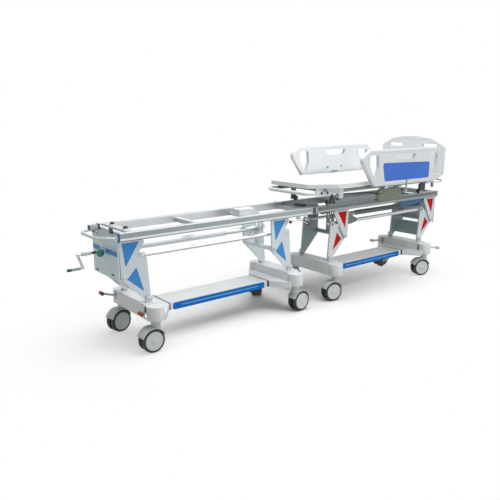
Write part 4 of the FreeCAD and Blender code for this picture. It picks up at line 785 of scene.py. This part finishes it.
# The first colour of each pair darkens the rails' outer sides as painted shade; the second is for
# the end plugs.
RAIL_TRIM = {"a": (strip_pale, plate_blue), "b": (strip_dark, black_plastic)}
END_PLATE = {"a": (0.026, 0.002, navy_plastic), "b": (0.002, 0.009, dark_red)}


def on_rails(side, start, end, proud, low, high):
    """Blocks on the outer faces of both rails, standing proud of them."""
    blank = Blank()
    for half, _ in HANDS:
        blank.block((out(side, start), half * rail_out, low),
                    (out(side, end), half * (rail_out + proud), high))
    return blank


for side, (strip, plug) in RAIL_TRIM.items():
    body = f"frame_{side}"
    on_rails(side, 0.003, rail_end - 0.003, 0.0012, rail_low + 0.001, rail_low + 0.0065).piece(
        f"rail_wear_strips_{side}", strip_dark, body, 0.0003)
    # These grey strips darken the rails' outer sides: painted shade.
    on_rails(side, 0.030, rail_end - 0.002, 0.0008, rail_low + 0.0235, rail_top - 0.005).piece(
        f"rail_side_shades_{side}", strip, body, 0.0003)
    plugs = Blank()
    for half, _ in HANDS:
        mouth = oblong((half * (rail_in + 0.001), rail_low + 0.001),
                       (half * (rail_out - 0.001), rail_top - 0.001), 0.004)
        plugs.plate("x", mouth, out(side, rail_end - 0.004), out(side, rail_end + 0.006))
    plugs.piece(f"rail_plugs_{side}", plug, body, 0.0015)
for side, (start, end, finish) in END_PLATE.items():
    on_rails(side, start, end, 0.0016, rail_low + 0.007, rail_top - 0.001).piece(
        f"rail_end_plates_{side}", finish, f"frame_{side}", 0.0005)
print("rails end", round(rail_end, 3), "out and stand from", rail_low, "to", rail_top)

# %% Post and pad by the dock
post = oblong((out("a", 0.075), rail_out - 0.012), (out("a", 0.047), rail_out + 0.004), 0.004)
Blank().plate("z", post, rail_top - 0.055, rail_top + 0.004).piece(
    "rail_post", white_plastic, "frame_a", 0.002)
pad = oblong((out("b", 0.040), 0.0), (out("b", 0.135), 0.100), 0.03)
Blank().plate("z", pad, rail_low + 0.030, rail_low + 0.051).piece(
    "dock_pad", black_plastic, "frame_b", 0.004)
print("the post stands", round(rail_top + 0.004, 3), "high")

# %% [markdown]
# ## Side plates
# Between the rail and the levers, trolley B has a long dark plate whose lower edge rises, and a
# small fork plate with two screws on its near tie rod.

# %% Side plates
long_plate = world("b", [(1.289, 0.826), (1.289, 0.760), (1.560, 0.776), (1.702, 0.800),
                         (1.702, 0.826)])
Blank().plate("y", rounded(long_plate, 0.008), -0.196, -0.190).piece(
    "side_plate_b", plate_blue, "frame_b", 0.0015)
rod_z = leg_pins("b", "inner")[1][1]
ROD_FORK = [(0.500, 0.060), (0.500, -0.026), (0.560, -0.026), (0.645, -0.006), (0.645, 0.016),
            (0.560, 0.060)]
fork_plate = rounded(world("b", [shifted(point, 0, rod_z) for point in ROD_FORK]), 0.012)
FORK_FACE, FORK_BACK = -0.1745, -0.1675
blank = Blank().plate("y", fork_plate, FORK_FACE, FORK_BACK)
for rise in (0.036, 0):
    cap_screw(blank, (out("b", 0.528), FORK_FACE, rod_z + rise), (0, -1, 0))
blank.piece("rod_fork_plate", strip_dark, "tie_rods_b", 0.0012)
print("tie rods lie at z =", round(rod_z, 3))

# %% [markdown]
# ## End stops
# The platform runs against stop blocks at the outer end of trolley A. Each carries a black button
# on its top. Beyond the last cross member are two black collars and an arm with a black cap.

# %% Stop buttons and collars
STOP_Y = 0.107
BUTTON = [(0.0, 0.0155), (0.0125, 0.0163), (0.0150, 0.0150), (0.0155, 0.006), (0.0140, 0.005),
          (0.0140, 0.0)]
low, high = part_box("end_stops_a")
buttons, collars = Blank(), Blank()
for half, _ in HANDS:
    y = half * STOP_Y
    buttons.turned(BUTTON, (out("a", 1.772), y, rail_top + 0.007), (0, 0, 1))
    collars.block((out("a", 1.8905), y - 0.0195, low.z - 0.0005),
                  (out("a", 1.8765), y + 0.0195, high.z + 0.0005))
buttons.piece("stop_buttons", black_plastic, "frame_a", 0.0006)
collars.piece("stop_collars", black_plastic, "frame_a", 0.002)
Blank().block((out("a", 1.9575), STOP_Y - 0.0155, rail_top - 0.0165),
              (out("a", 1.9510), STOP_Y + 0.0155, rail_top + 0.0185)).piece(
    "stop_arm_cap", black_plastic, "frame_a", 0.0015)
print("stops end at z =", round(high.z, 3))

# %% [markdown]
# ## Dock box
# A small box on the first cross member holds the catch for the platform. It gets a lid and screws.

# %% Dock box lid
LID_LIP, LID_RISE, SCREW_SET = 0.002, 0.003, 0.014
low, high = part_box("dock_box_a")
lid = oblong((low.x - LID_LIP, low.y - LID_LIP), (high.x + LID_LIP, high.y + LID_LIP), 0.008, 5)
Blank().plate("z", lid, high.z - 0.004, high.z + LID_RISE).piece(
    "dock_box_lid", light_paint, "frame_a", 0.0015)
screws = Blank()
for x in (low.x + SCREW_SET, high.x - SCREW_SET):
    for y in (low.y + SCREW_SET, high.y - SCREW_SET):
        cap_screw(screws, (x, y, high.z + LID_RISE), (0, 0, 1), 0.005)
screws.piece("dock_box_screws", steel, "frame_a", 0.0003)
print("lid at z =", round(high.z, 3))

# %% [markdown]
# ## End panels
# The upright panel at the outer end has two slots and screws in its corners, and a coloured band
# crosses trolley A's. A green knob hangs from a thin rod beside the bumper.

# %% End panel trim
PANEL_THICK, SIGN_THICK = 0.011, 0.0015
for side in "ab":
    near, far, low, high = reach(f"end_panel_{side}", side)
    face = min(near + PANEL_THICK, far)
    x0, x1 = out(side, face), out(side, face + SIGN_THICK)
    if side == "a":
        band = oblong((-0.2045, high - 0.111), (0.2045, high - 0.076), 0.003)
        Blank().plate("x", band, x0, x1).piece("end_band_a", blue_paint, "frame_a", 0.0005)
    slots, screws = Blank(), Blank()
    for y, z in ((0.150, low + 0.020), (-0.115, low + 0.032)):
        slots.plate("x", oblong((y - 0.024, z - 0.007), (y + 0.024, z + 0.007)), x0, x1)
    for y in (-0.190, 0.190):
        for z in (low + 0.020, high - 0.020):
            cap_screw(screws, (out(side, face), y, z), (WAY[side], 0, 0), 0.006)
    slots.piece(f"end_slots_{side}", black_plastic, f"frame_{side}", 0.0004)
    screws.piece(f"end_screws_{side}", steel, f"frame_{side}", 0.0003)
print("end panel from z =", low, "to", high)

# %% Knob and bumper collars
KNOB = [(-0.029, 0), (-0.027, 0.011), (-0.019, 0.021), (-0.006, 0.0275), (0.008, 0.0275),
        (0.019, 0.021), (0.026, 0.012), (0.029, 0)]
Blank().turned(KNOB, (out("a", 1.948), -0.050, 0.736), (-0.3, 0, -1), sides=36).piece(
    "release_knob", green_gloss, "frame_a", 0)


def bar(node):
    """Height of a round bar's middle, and its radius, from its box."""
    low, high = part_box(node)
    return (low.z + high.z) / 2, (high.z - low.z) / 2


bumper_z, bumper_r = bar("bumper_a")
bumper_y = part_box("bumper_a")[1].y - bumper_r
rod = eased([(out("a", 1.948), -0.055, 0.752), (out("a", 1.953), -0.122, 0.836),
             (out("a", 1.985), -0.122, bumper_z)], 0.02)
Blank().swept(rod, 0.004).piece("release_rod", steel, "frame_a", 0)
collars = Blank()
for half, _ in HANDS:
    collars.turned([(0, bumper_r), (0, 0.0150), (0.002, 0.0160), (0.010, 0.0160), (0.012, 0.0150),
                    (0.012, bumper_r)], (out("a", rail_end + 0.006), half * bumper_y, bumper_z),
                   (-1, 0, 0))
collars.piece("bumper_collars", light_paint, "frame_a", 0.0005)
print("bumper arms at |y| =", round(bumper_y, 3))

# %% [markdown]
# ## Screw covers
# The screw is hidden by a tube from the end panel to the nut, so that nothing catches in it.

# %% Screw cover tubes
screw_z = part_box("nut_tube_a")[0].z + 0.020
COVER_START, COVER_END = 0.815, 1.874
# Trolley B's cover tube is coloured dark grey as painted shade; trolley A's is light paint.
for side, finish in (("a", light_paint), ("b", strip_dark)):
    line = (dock_x, 0, screw_z), (WAY[side], 0, 0)
    Blank().turned([(COVER_START, 0.0215), (COVER_START, 0.0250), (COVER_END, 0.0250),
                    (COVER_END, 0.0215)], *line).turned(
        [(COVER_START + 0.0005, 0.0213), (COVER_END - 0.0005, 0.0213)], *line).piece(
        f"screw_cover_{side}", finish, f"frame_{side}", 0.0004)
print("screw axis at z =", round(screw_z, 3))

# %% [markdown]
# ## Crank
# The crank's spindle runs in a dark sleeve on the panel boss, and the grip is capped at its tip.

# %% Crank sleeves
SPINDLE_R = 0.0085
DARK_SLEEVE = [(0, SPINDLE_R), (0, 0.0140), (0.010, 0.0140), (0.014, 0.0096), (0.089, 0.0096),
               (0.090, SPINDLE_R)]
PALE_SLEEVE = [(0, SPINDLE_R), (0, 0.0125), (0.002, 0.0135), (0.068, 0.0135), (0.070, 0.0125),
               (0.070, SPINDLE_R)]
boss_end = reach("end_panel_a", "a")[1] + 0.0005
for name, start, profile, finish, edge in (
        ("crank_shaft_sleeve", boss_end, DARK_SLEEVE, black_plastic, 0.0003),
        ("crank_sleeve", 1.995, PALE_SLEEVE, light_paint, 0.0004)):
    Blank().turned(profile, (out("a", start), 0, screw_z), (-1, 0, 0)).piece(
        name, finish, "crank_a", edge)
grip_z, grip_r = bar("crank_grip_a")
Blank().turned([(-0.022, grip_r + 0.0002), (-0.020, grip_r + 0.0012), (-0.002, grip_r + 0.0012),
                (0.004, grip_r), (0.008, 0.0070), (0.0095, 0.0035), (0.0098, 0)],
               (out("a", reach("crank_grip_a", "a")[1]), 0, grip_z), (-1, 0, 0)).piece(
    "crank_grip_cap", green_dark, "crank_grip_a", 0)
print("crank grip at z =", round(grip_z, 3))

# %% [markdown]
# ## Shelf stripes
# Each base shelf has a blue stripe with round ends along both sides, a lighter line inside it, and
# two dark bands over the top. They are thin moulded inlays, a millimetre or two proud of the shelf.

# %% Shelf stripes
SHELF_HALF, FLARE_HALF, FLARE_RUN, FLARE_LAND, HOLLOW = 0.120, 0.290, 0.136, 0.014, 0.070
FLARE_TURN = math.atan2(FLARE_HALF - SHELF_HALF, FLARE_RUN - FLARE_LAND)
INLAY, BAND_HALF = 0.001, 0.007


def shelf_edge(u, first, last):
    """Half width of the shelf that far out: straight, then a hollow, then the slanting flare."""
    short = HOLLOW * math.tan(FLARE_TURN / 2)
    into = max(first + FLARE_RUN + short - u, u - (last - FLARE_RUN - short))
    if into <= 0:
        return SHELF_HALF
    if into < HOLLOW * math.sin(FLARE_TURN):
        return SHELF_HALF + HOLLOW - math.sqrt(HOLLOW ** 2 - into ** 2)
    return SHELF_HALF + (into - short) * math.tan(FLARE_TURN)


for side in "ab":
    first, last, shelf_low, shelf_top = reach(f"shelf_{side}", side)
    stripes, lines, bands = Blank(), Blank(), Blank()
    stripe = oblong((out(side, 0.488), shelf_low - 0.006), (out(side, 1.412), shelf_top - 0.006),
                    0.017)
    line = oblong((out(side, 0.560), shelf_low + 0.0205), (out(side, 1.335), shelf_low + 0.0275))
    for half, _ in HANDS:
        stripes.plate("y", stripe, half * (SHELF_HALF - INLAY), half * (SHELF_HALF + INLAY))
        lines.plate("y", line, half * SHELF_HALF, half * (SHELF_HALF + 0.0016))
    for u in (0.455, 1.445):
        edges = [(out(side, v), shelf_edge(v, first, last))
                 for v in (u - BAND_HALF, u, u + BAND_HALF)]
        across = [(x, -y - INLAY) for x, y in edges] + [(x, y + INLAY) for x, y in edges[::-1]]
        bands.plate("z", across, shelf_top - INLAY, shelf_top + INLAY)
        for half, _ in HANDS:
            strip = [(x, half * (y - INLAY)) for x, y in edges]
            strip += [(x, half * (y + INLAY)) for x, y in edges[::-1]]
            bands.plate("z", strip, shelf_low + 0.004, shelf_top - INLAY)
    stripes.piece(f"shelf_stripes_{side}", stripe_blue, f"base_{side}", 0.0005)
    lines.piece(f"shelf_lines_{side}", stripe_pale, f"base_{side}", 0.0003)
    bands.piece(f"shelf_bands_{side}", navy_plastic, f"base_{side}", 0.0005)
print("shelf top at z =", round(shelf_top, 3))

# %% [markdown]
# ## Pedals
# The brake pedals end in round feet with rubber sleeves. The longer arms are moulded over as well.

# %% Pedal sleeves
SHAFT_U, SHAFT_Z = 1.692, 0.300
FEET = {"a": (((0.140, 0.044), 0.240), ((0.060, -0.008), -0.240)),
        "b": (((0.254, -0.050), -0.240), ((-0.290, 0.026), 0.240))}
FOOT = [(-0.026, 0.0), (-0.026, 0.010), (-0.022, 0.0150), (0.022, 0.0150), (0.026, 0.010),
        (0.026, 0.0)]
SHORT_ARM, OUTER_ROOT, INNER_ROOT, FOOT_GAP = 0.1, 0.034, 0.120, 0.028
for side, feet in FEET.items():
    sleeves, arms = Blank(), Blank()
    for (run, rise), y in feet:
        sleeves.turned(FOOT, (out(side, SHAFT_U + run), y, SHAFT_Z + rise), (0, 1, 0), sides=32)
        if abs(run) > SHORT_ARM:
            root = OUTER_ROOT if run > 0 else INNER_ROOT
            arms.swept([(out(side, SHAFT_U + run * t), y, SHAFT_Z + rise * t)
                        for t in (root / abs(run), 1 - FOOT_GAP / abs(run))], 0.0105, tall=0.9)
    sleeves.piece(f"pedal_sleeves_{side}", rust_rubber if side == "a" else grey_plastic,
                  f"brake_bar_{side}", 0.0005)
    arms.piece(f"pedal_arms_{side}", white_plastic if side == "a" else grey_plastic,
               f"brake_bar_{side}", 0.002)
print("pedal feet", FEET)

# %% [markdown]
# ## Dock release
# Two thin arms with ball knobs turn on one boss. The knobs are dark red.

# %% Release knobs
BALL = [(-0.0145, 0), (-0.0130, 0.0065), (-0.0085, 0.0118), (0, 0.0146), (0.0085, 0.0118),
        (0.0130, 0.0065), (0.0145, 0)]
latch_y = sum(corner.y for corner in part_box("dock_release_a")) / 2
balls = Blank()
for u, z in ((0.301, 0.798), (0.084, 0.755)):
    balls.turned(BALL, (out("a", u), latch_y, z), (0, 0, 1), sides=36)
balls.piece("release_balls", dark_red, "dock_release", 0)
print("release at y =", round(latch_y, 3))

# %% [markdown]
# ## Under the platform
# Brackets, guides and a catch hang from the platform's side tube. They are folded plate and
# moulded plastic. A white sleeve covers the tube where it bends round the foot end.

# %% Platform brackets
deck_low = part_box("deck")[0].z
WINDOWS, WINDOW_Z, WINDOW_R = (0.018, 0.091), 1.024, 0.014
turns = [2 * math.pi * k / 24 for k in range(24)]
holes = [[(at(x) + WINDOW_R * math.cos(turn), WINDOW_Z + WINDOW_R * math.sin(turn))
          for turn in turns] for x in WINDOWS]
bracket = world("b", [(-0.048, deck_low), (-0.048, 1.008), (-0.022, 0.992), (0.128, 0.992),
                      (0.150, 1.006), (0.246, 1.006), (0.246, deck_low)])
Blank().plate("y", rounded(bracket, 0.008), -0.293, -0.288, holes).piece(
    "side_bracket_plate", light_paint, "platform", 0.0012)
backing = Blank()
for x in WINDOWS:
    backing.block((at(x - 0.022), -0.2875, 1.004), (at(x + 0.022), -0.2865, 1.044))
backing.piece("bracket_backing", black_plastic, "platform", 0.0003)
print("deck underside at z =", round(deck_low, 3))

# %% Guides and catch rod
CLIPS = (([(0.153, 0.915), (0.231, 0.915), (0.204, 0.984), (0.180, 0.984)], (0.184, 0.200), 0.980),
         ([(0.248, 0.938), (0.285, 0.938), (0.268, 0.972), (0.252, 0.972)], (0.254, 0.266), 0.968))
clips = Blank()
for corners, _, _ in CLIPS:
    clips.plate("y", rounded(world("b", corners), 0.003), -0.262, -0.238)
for _, (start, end), low_z in CLIPS:
    clips.block((at(start), -0.256, low_z), (at(end), -0.246, 1.012))
clips.piece("guide_clips", black_plastic, "platform", 0.002)
guide = world("b", [(0.240, 1.058), (0.240, 0.968), (0.250, 0.960), (0.290, 0.960),
                    (0.300, 0.968), (0.300, 1.058)])
Blank().plate("y", rounded(guide, 0.004), -0.293, -0.247).piece(
    "rail_guide_post", white_plastic, "platform", 0.003)
rod = [(at(x), -0.262, z)
       for x, z in ((0.300, 0.992), (0.515, 0.984), (0.700, 0.972), (0.862, 0.944))]
Blank().swept(eased(rod, 0.04), 0.0060).piece("catch_rod", black_plastic, "platform", 0)
print(len(CLIPS), "guide clips")

# %% Side channel and nose sleeve
HANGER_FACE, CHANNEL_LOW = -0.248, 0.906
channel = Blank()
for inner, outer, high_z in ((0.0004, 0.0062, 0.958), (0.0060, 0.0090, 0.916)):
    channel.block((at(0.232), HANGER_FACE - outer, CHANNEL_LOW),
                  (at(0.814), HANGER_FACE - inner, high_z))
channel.piece("side_channel", strip_grey, "platform", 0.0015)
NOSE_X, NOSE_BEND, NOSE_Y, NOSE_Z = -0.130, 0.070, 0.270, 1.025
quarter = [math.pi / 2 * k / 10 for k in range(11)]
line = [(at(-0.010), -NOSE_Y, NOSE_Z)]
line += [(at(NOSE_X + NOSE_BEND - NOSE_BEND * math.sin(a)),
          -NOSE_Y + NOSE_BEND - NOSE_BEND * math.cos(a), NOSE_Z) for a in quarter]
Blank().swept(line + [(x, -y, z) for x, y, z in line[::-1]], 0.0167, sides=24).piece(
    "nose_sleeve", white_plastic, "platform")
print("nose tube bends round", NOSE_BEND)

# %% Oval cover
low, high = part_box("oval_cover")
dome = oblong((low.x + 0.010, low.z + 0.010), (high.x - 0.010, high.z - 0.010))
Blank().plate("y", dome, low.y - 0.006, low.y + 0.001).piece(
    "oval_cover_dome", green_plastic, "platform", 0.0055, segments=4)
Blank().block((high.x - 0.080, low.y - 0.002, high.z - 0.006),
              (high.x + 0.006, low.y + 0.020, high.z + 0.018)).piece(
    "oval_cover_box", green_plastic, "platform", 0.004)
print("oval cover is", round(high.z - low.z, 3), "high")

# %% Catch at the head end
catch = world("b", [(1.515, 0.996), (1.517, 0.926), (1.606, 0.926), (1.603, 0.996)])
Blank().plate("y", rounded(catch, 0.008), -0.262, -0.236).block(
    (at(1.535), -0.256, 0.990), (at(1.580), -0.244, 1.012)).piece(
    "head_catch", black_plastic, "platform", 0.003)
HOOK = [(1.489, -0.300, 1.035), (1.489, -0.400, 1.035), (1.520, -0.425, 1.030),
        (1.640, -0.425, 1.024), (1.683, -0.395, 1.040), (1.683, -0.300, 1.046)]
Blank().swept(eased([(at(x), y, z) for x, y, z in HOOK], 0.03), 0.0065).piece(
    "side_hook", steel, "platform", 0)
side_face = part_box("side_rail_near")[0].y
Blank().plate("y", oblong((at(0.970), 0.985), (at(0.994), 1.100), 0.005), side_face - 0.005,
              side_face + 0.001).plate(
    "y", oblong((at(0.960), 0.978), (at(1.004), 1.000), 0.005), side_face - 0.006,
    side_face + 0.012).piece("side_rail_latch", strip_grey, "side_rail_near", 0.0015)
print("catch pieces hang from the side tube")

# %% [markdown]
# ## Side rail panels
# Each side rail has a blue sheet pressed into the sunk panel of its outer face.

# %% Side rail panels
hinge_x, hinge_z = 0.700, JOINTS["side_rail_near_fold"]["pos_m"][2]
PANEL = [(-0.050, 0.199), (0.618, 0.185), (0.618, 0.079), (-0.024, 0.083)]
PANEL_RIM = 0.026


def on_board(corners, out_by, radius, steps):
    """Corners given from the side rail's first hinge, moved outward and rounded."""
    placed = world("b", [(hinge_x + x, hinge_z + z) for x, z in corners])
    return rounded(shrunk(placed, -out_by), radius, steps)


for half, hand in HANDS:
    low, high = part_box(f"side_rail_{hand}")
    face = max(abs(low.y), abs(high.y))
    Blank().plate("y", on_board(PANEL, PANEL_RIM - 0.0006, PANEL_RIM, 8),
                  half * (face - 0.002), half * (face - 0.0004)).piece(
        f"side_panel_{hand}", panel_blue, f"side_rail_{hand}", 0.0004)
print("side rail hinges at z =", round(hinge_z, 3))

# %% [markdown]
# ## Rims and brackets of the side rails
# The side rails are blow-moulded: their border is a thick round tube that stands proud of the flat
# board on both faces. The headboard has the same border, only slimmer. On its inner face each side
# rail carries a bracket for the latch, held by two bolts.

# %% Rims of the side rails
BOARD = [(-0.250, 0.299), (0.755, 0.299), (0.805, 0.249), (0.770, 0.074), (0.730, 0.059),
         (-0.170, 0.064), (-0.312, 0.254)]
BOARD_RIM, TUBE, PROUD = 0.045, 0.0150, 0.0026
BRACKET = rounded(world("b", [(0.822, 1.108), (0.822, 1.186), (0.866, 1.186), (0.884, 1.140),
                              (1.012, 1.140), (1.030, 1.186), (1.074, 1.186), (1.074, 1.108)]),
                  0.010)
BRACKET_THICK, LATCH_THICK = 0.0030, 0.0060
for half, hand in HANDS:
    low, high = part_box(f"side_rail_{hand}")
    body = f"side_rail_{hand}"
    line = on_board(BOARD, BOARD_RIM - TUBE, BOARD_RIM - TUBE, 10)
    Blank().hoop("y", line, (low.y + high.y) / 2, TUBE + 0.0003,
                 (high.y - low.y) / 2 + PROUD).piece(
        f"side_rail_rim_{hand}", board_white, body, 0)
    inner = min(abs(low.y), abs(high.y))
    face = half * (inner - BRACKET_THICK)
    Blank().plate("y", BRACKET, face, half * (inner + 0.0010)).piece(
        f"latch_bracket_{hand}", light_paint, body)
    bolts = Blank()
    for x in (0.842, 1.052):
        bolt(bolts, (at(x), face, 1.164), (0, -half, 0), 0.013, 0.009, 0.008)
    bolts.block((at(0.900), half * (inner - LATCH_THICK), 1.112),
                (at(1.000), half * (inner - 0.0028), 1.124))
    bolts.piece(f"latch_bolts_{hand}", strip_grey, body, 0.0004)
print("rims stand", PROUD, "m proud")

# %% Rim of the headboard
HEAD_RIM, HEAD_TUBE, HEAD_PROUD = 0.026, 0.0143, 0.0022
low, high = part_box("headboard")
half_line = [(0.348, 1.118), (0.348, high.z - 0.116), (0.230, high.z - 0.058),
             (0.104, high.z - 0.040)]
line = half_line + [(-y, z) for y, z in half_line[::-1]]
Blank().hoop("x", rounded(shrunk(line, -HEAD_RIM), HEAD_RIM, 10), (low.x + high.x) / 2, HEAD_TUBE,
             (high.x - low.x) / 2 + HEAD_PROUD).piece("headboard_rim", board_white, "headboard", 0)
print("headboard is", round(high.z - low.z, 3), "high")

# %% Catches under the near rail
catches = Blank()
for start, end in ((0.100, 0.134), (0.152, 0.196)):
    catches.block((at(start), 0.004 - rail_out, rail_low - 0.013),
                  (at(end), -rail_in - 0.004, rail_low - 0.0003))
catches.piece("rail_catches_b", black_plastic, "frame_b", 0.002)
print("catches hang below z =", round(rail_low, 3))

# %% [markdown]
# ## Floor, light and camera
# Soft light from large lamps suits white plastic: no lamp alone burns it out, and the shadow on the
# floor stays gentle. The backdrop is white only where the camera, metal or glass looks at it.

# %% Camera
camera_data = bpy.data.cameras.new("camera")
camera_data.sensor_width = 36.0
camera_data.lens = 40.46
camera = bpy.data.objects.new("camera", camera_data)
LOOK_DOWN, LOOK_ASIDE = 0.230, 0.676
camera.location = (-3.4324, -3.7212, 1.662)
camera.rotation_euler = (math.pi / 2 - LOOK_DOWN, 0.0, -LOOK_ASIDE)
bpy.context.scene.collection.objects.link(camera)
bpy.context.scene.camera = camera
print("camera stands at", tuple(round(c, 2) for c in camera.location))

# %% Floor
FLOOR_HALF, FLOOR_GREY, FLOOR_SINK = 30, (0.55, 0.55, 0.55), 0.0005
FADE_START, FADE_END, FADE_STRETCH = 0.35, 1.55, 0.32
floor_mesh = bpy.data.meshes.new("floor")
floor_mesh.from_pydata([(x * FLOOR_HALF, y * FLOOR_HALF, 0)
                        for x, y in ((-1, -1), (1, -1), (1, 1), (-1, 1))], [], [(0, 1, 2, 3)])
floor = bpy.data.objects.new("floor", floor_mesh)
bpy.context.scene.collection.objects.link(floor)
floor.location.z = -FLOOR_SINK
pale = Finish("floor", (0.97, 0.97, 0.97), Roughness=0.95)
along_x, along_y = pale.axis(0), pale.axis(1)
distance = (along_x * along_x * FADE_STRETCH + along_y * along_y) ** 0.5
by_camera, by_metal, by_glass = pale.rays()
shown = distance.between(FADE_START, FADE_END) * (by_camera + by_metal + by_glass)
backdrop = pale.node("ShaderNodeEmission", None, {"Strength": 1.0})
pale.feed(Base_Color=pale.mix(by_camera, FLOOR_GREY, pale.color))
blend = pale.node("ShaderNodeMixShader", None,
                  {0: shown, 1: Wire(pale, pale.shader.outputs[0]), 2: backdrop})
pale.tree.links.new(blend.socket, pale.tree.nodes["Material Output"].inputs["Surface"])
floor_mesh.materials.append(pale.material)
print("floor fades to white")

# %% World
WORLD_LIGHT = 0.38
world_light = bpy.data.worlds.new("studio")
bpy.context.scene.world = world_light
world_light.use_nodes = True
studio = Graph(world_light.node_tree)
by_camera, by_metal, by_glass = studio.rays()
strength = studio.node("ShaderNodeMapRange", None, {"Value": by_camera + by_metal + by_glass,
                                                    "To Min": WORLD_LIGHT, "To Max": 1.0})
background = studio.tree.nodes["Background"]
background.inputs["Color"].default_value = (1, 1, 1, 1)
studio.tree.links.new(strength.socket, background.inputs["Strength"])
print("the world lights pieces at", WORLD_LIGHT)

# %% Lamps
LIT_PLACE = Vector((0, 0, 0.6))


def lamp(name, place, size, power):
    """A square lamp that looks at the middle of the stretcher."""
    data = bpy.data.lights.new(name, "AREA")
    data.size = size
    data.energy = power
    light = bpy.data.objects.new(name, data)
    light.location = place
    light.rotation_euler = (LIT_PLACE - Vector(place)).to_track_quat("-Z", "Y").to_euler()
    bpy.context.scene.collection.objects.link(light)


lamp("overhead", (0.5, -0.6, 4.4), 4.0, 198)
lamp("front", (2.2, -4.8, 2.4), 3.0, 60)
bpy.context.scene.view_settings.view_transform = "Standard"
print("two lamps lit")
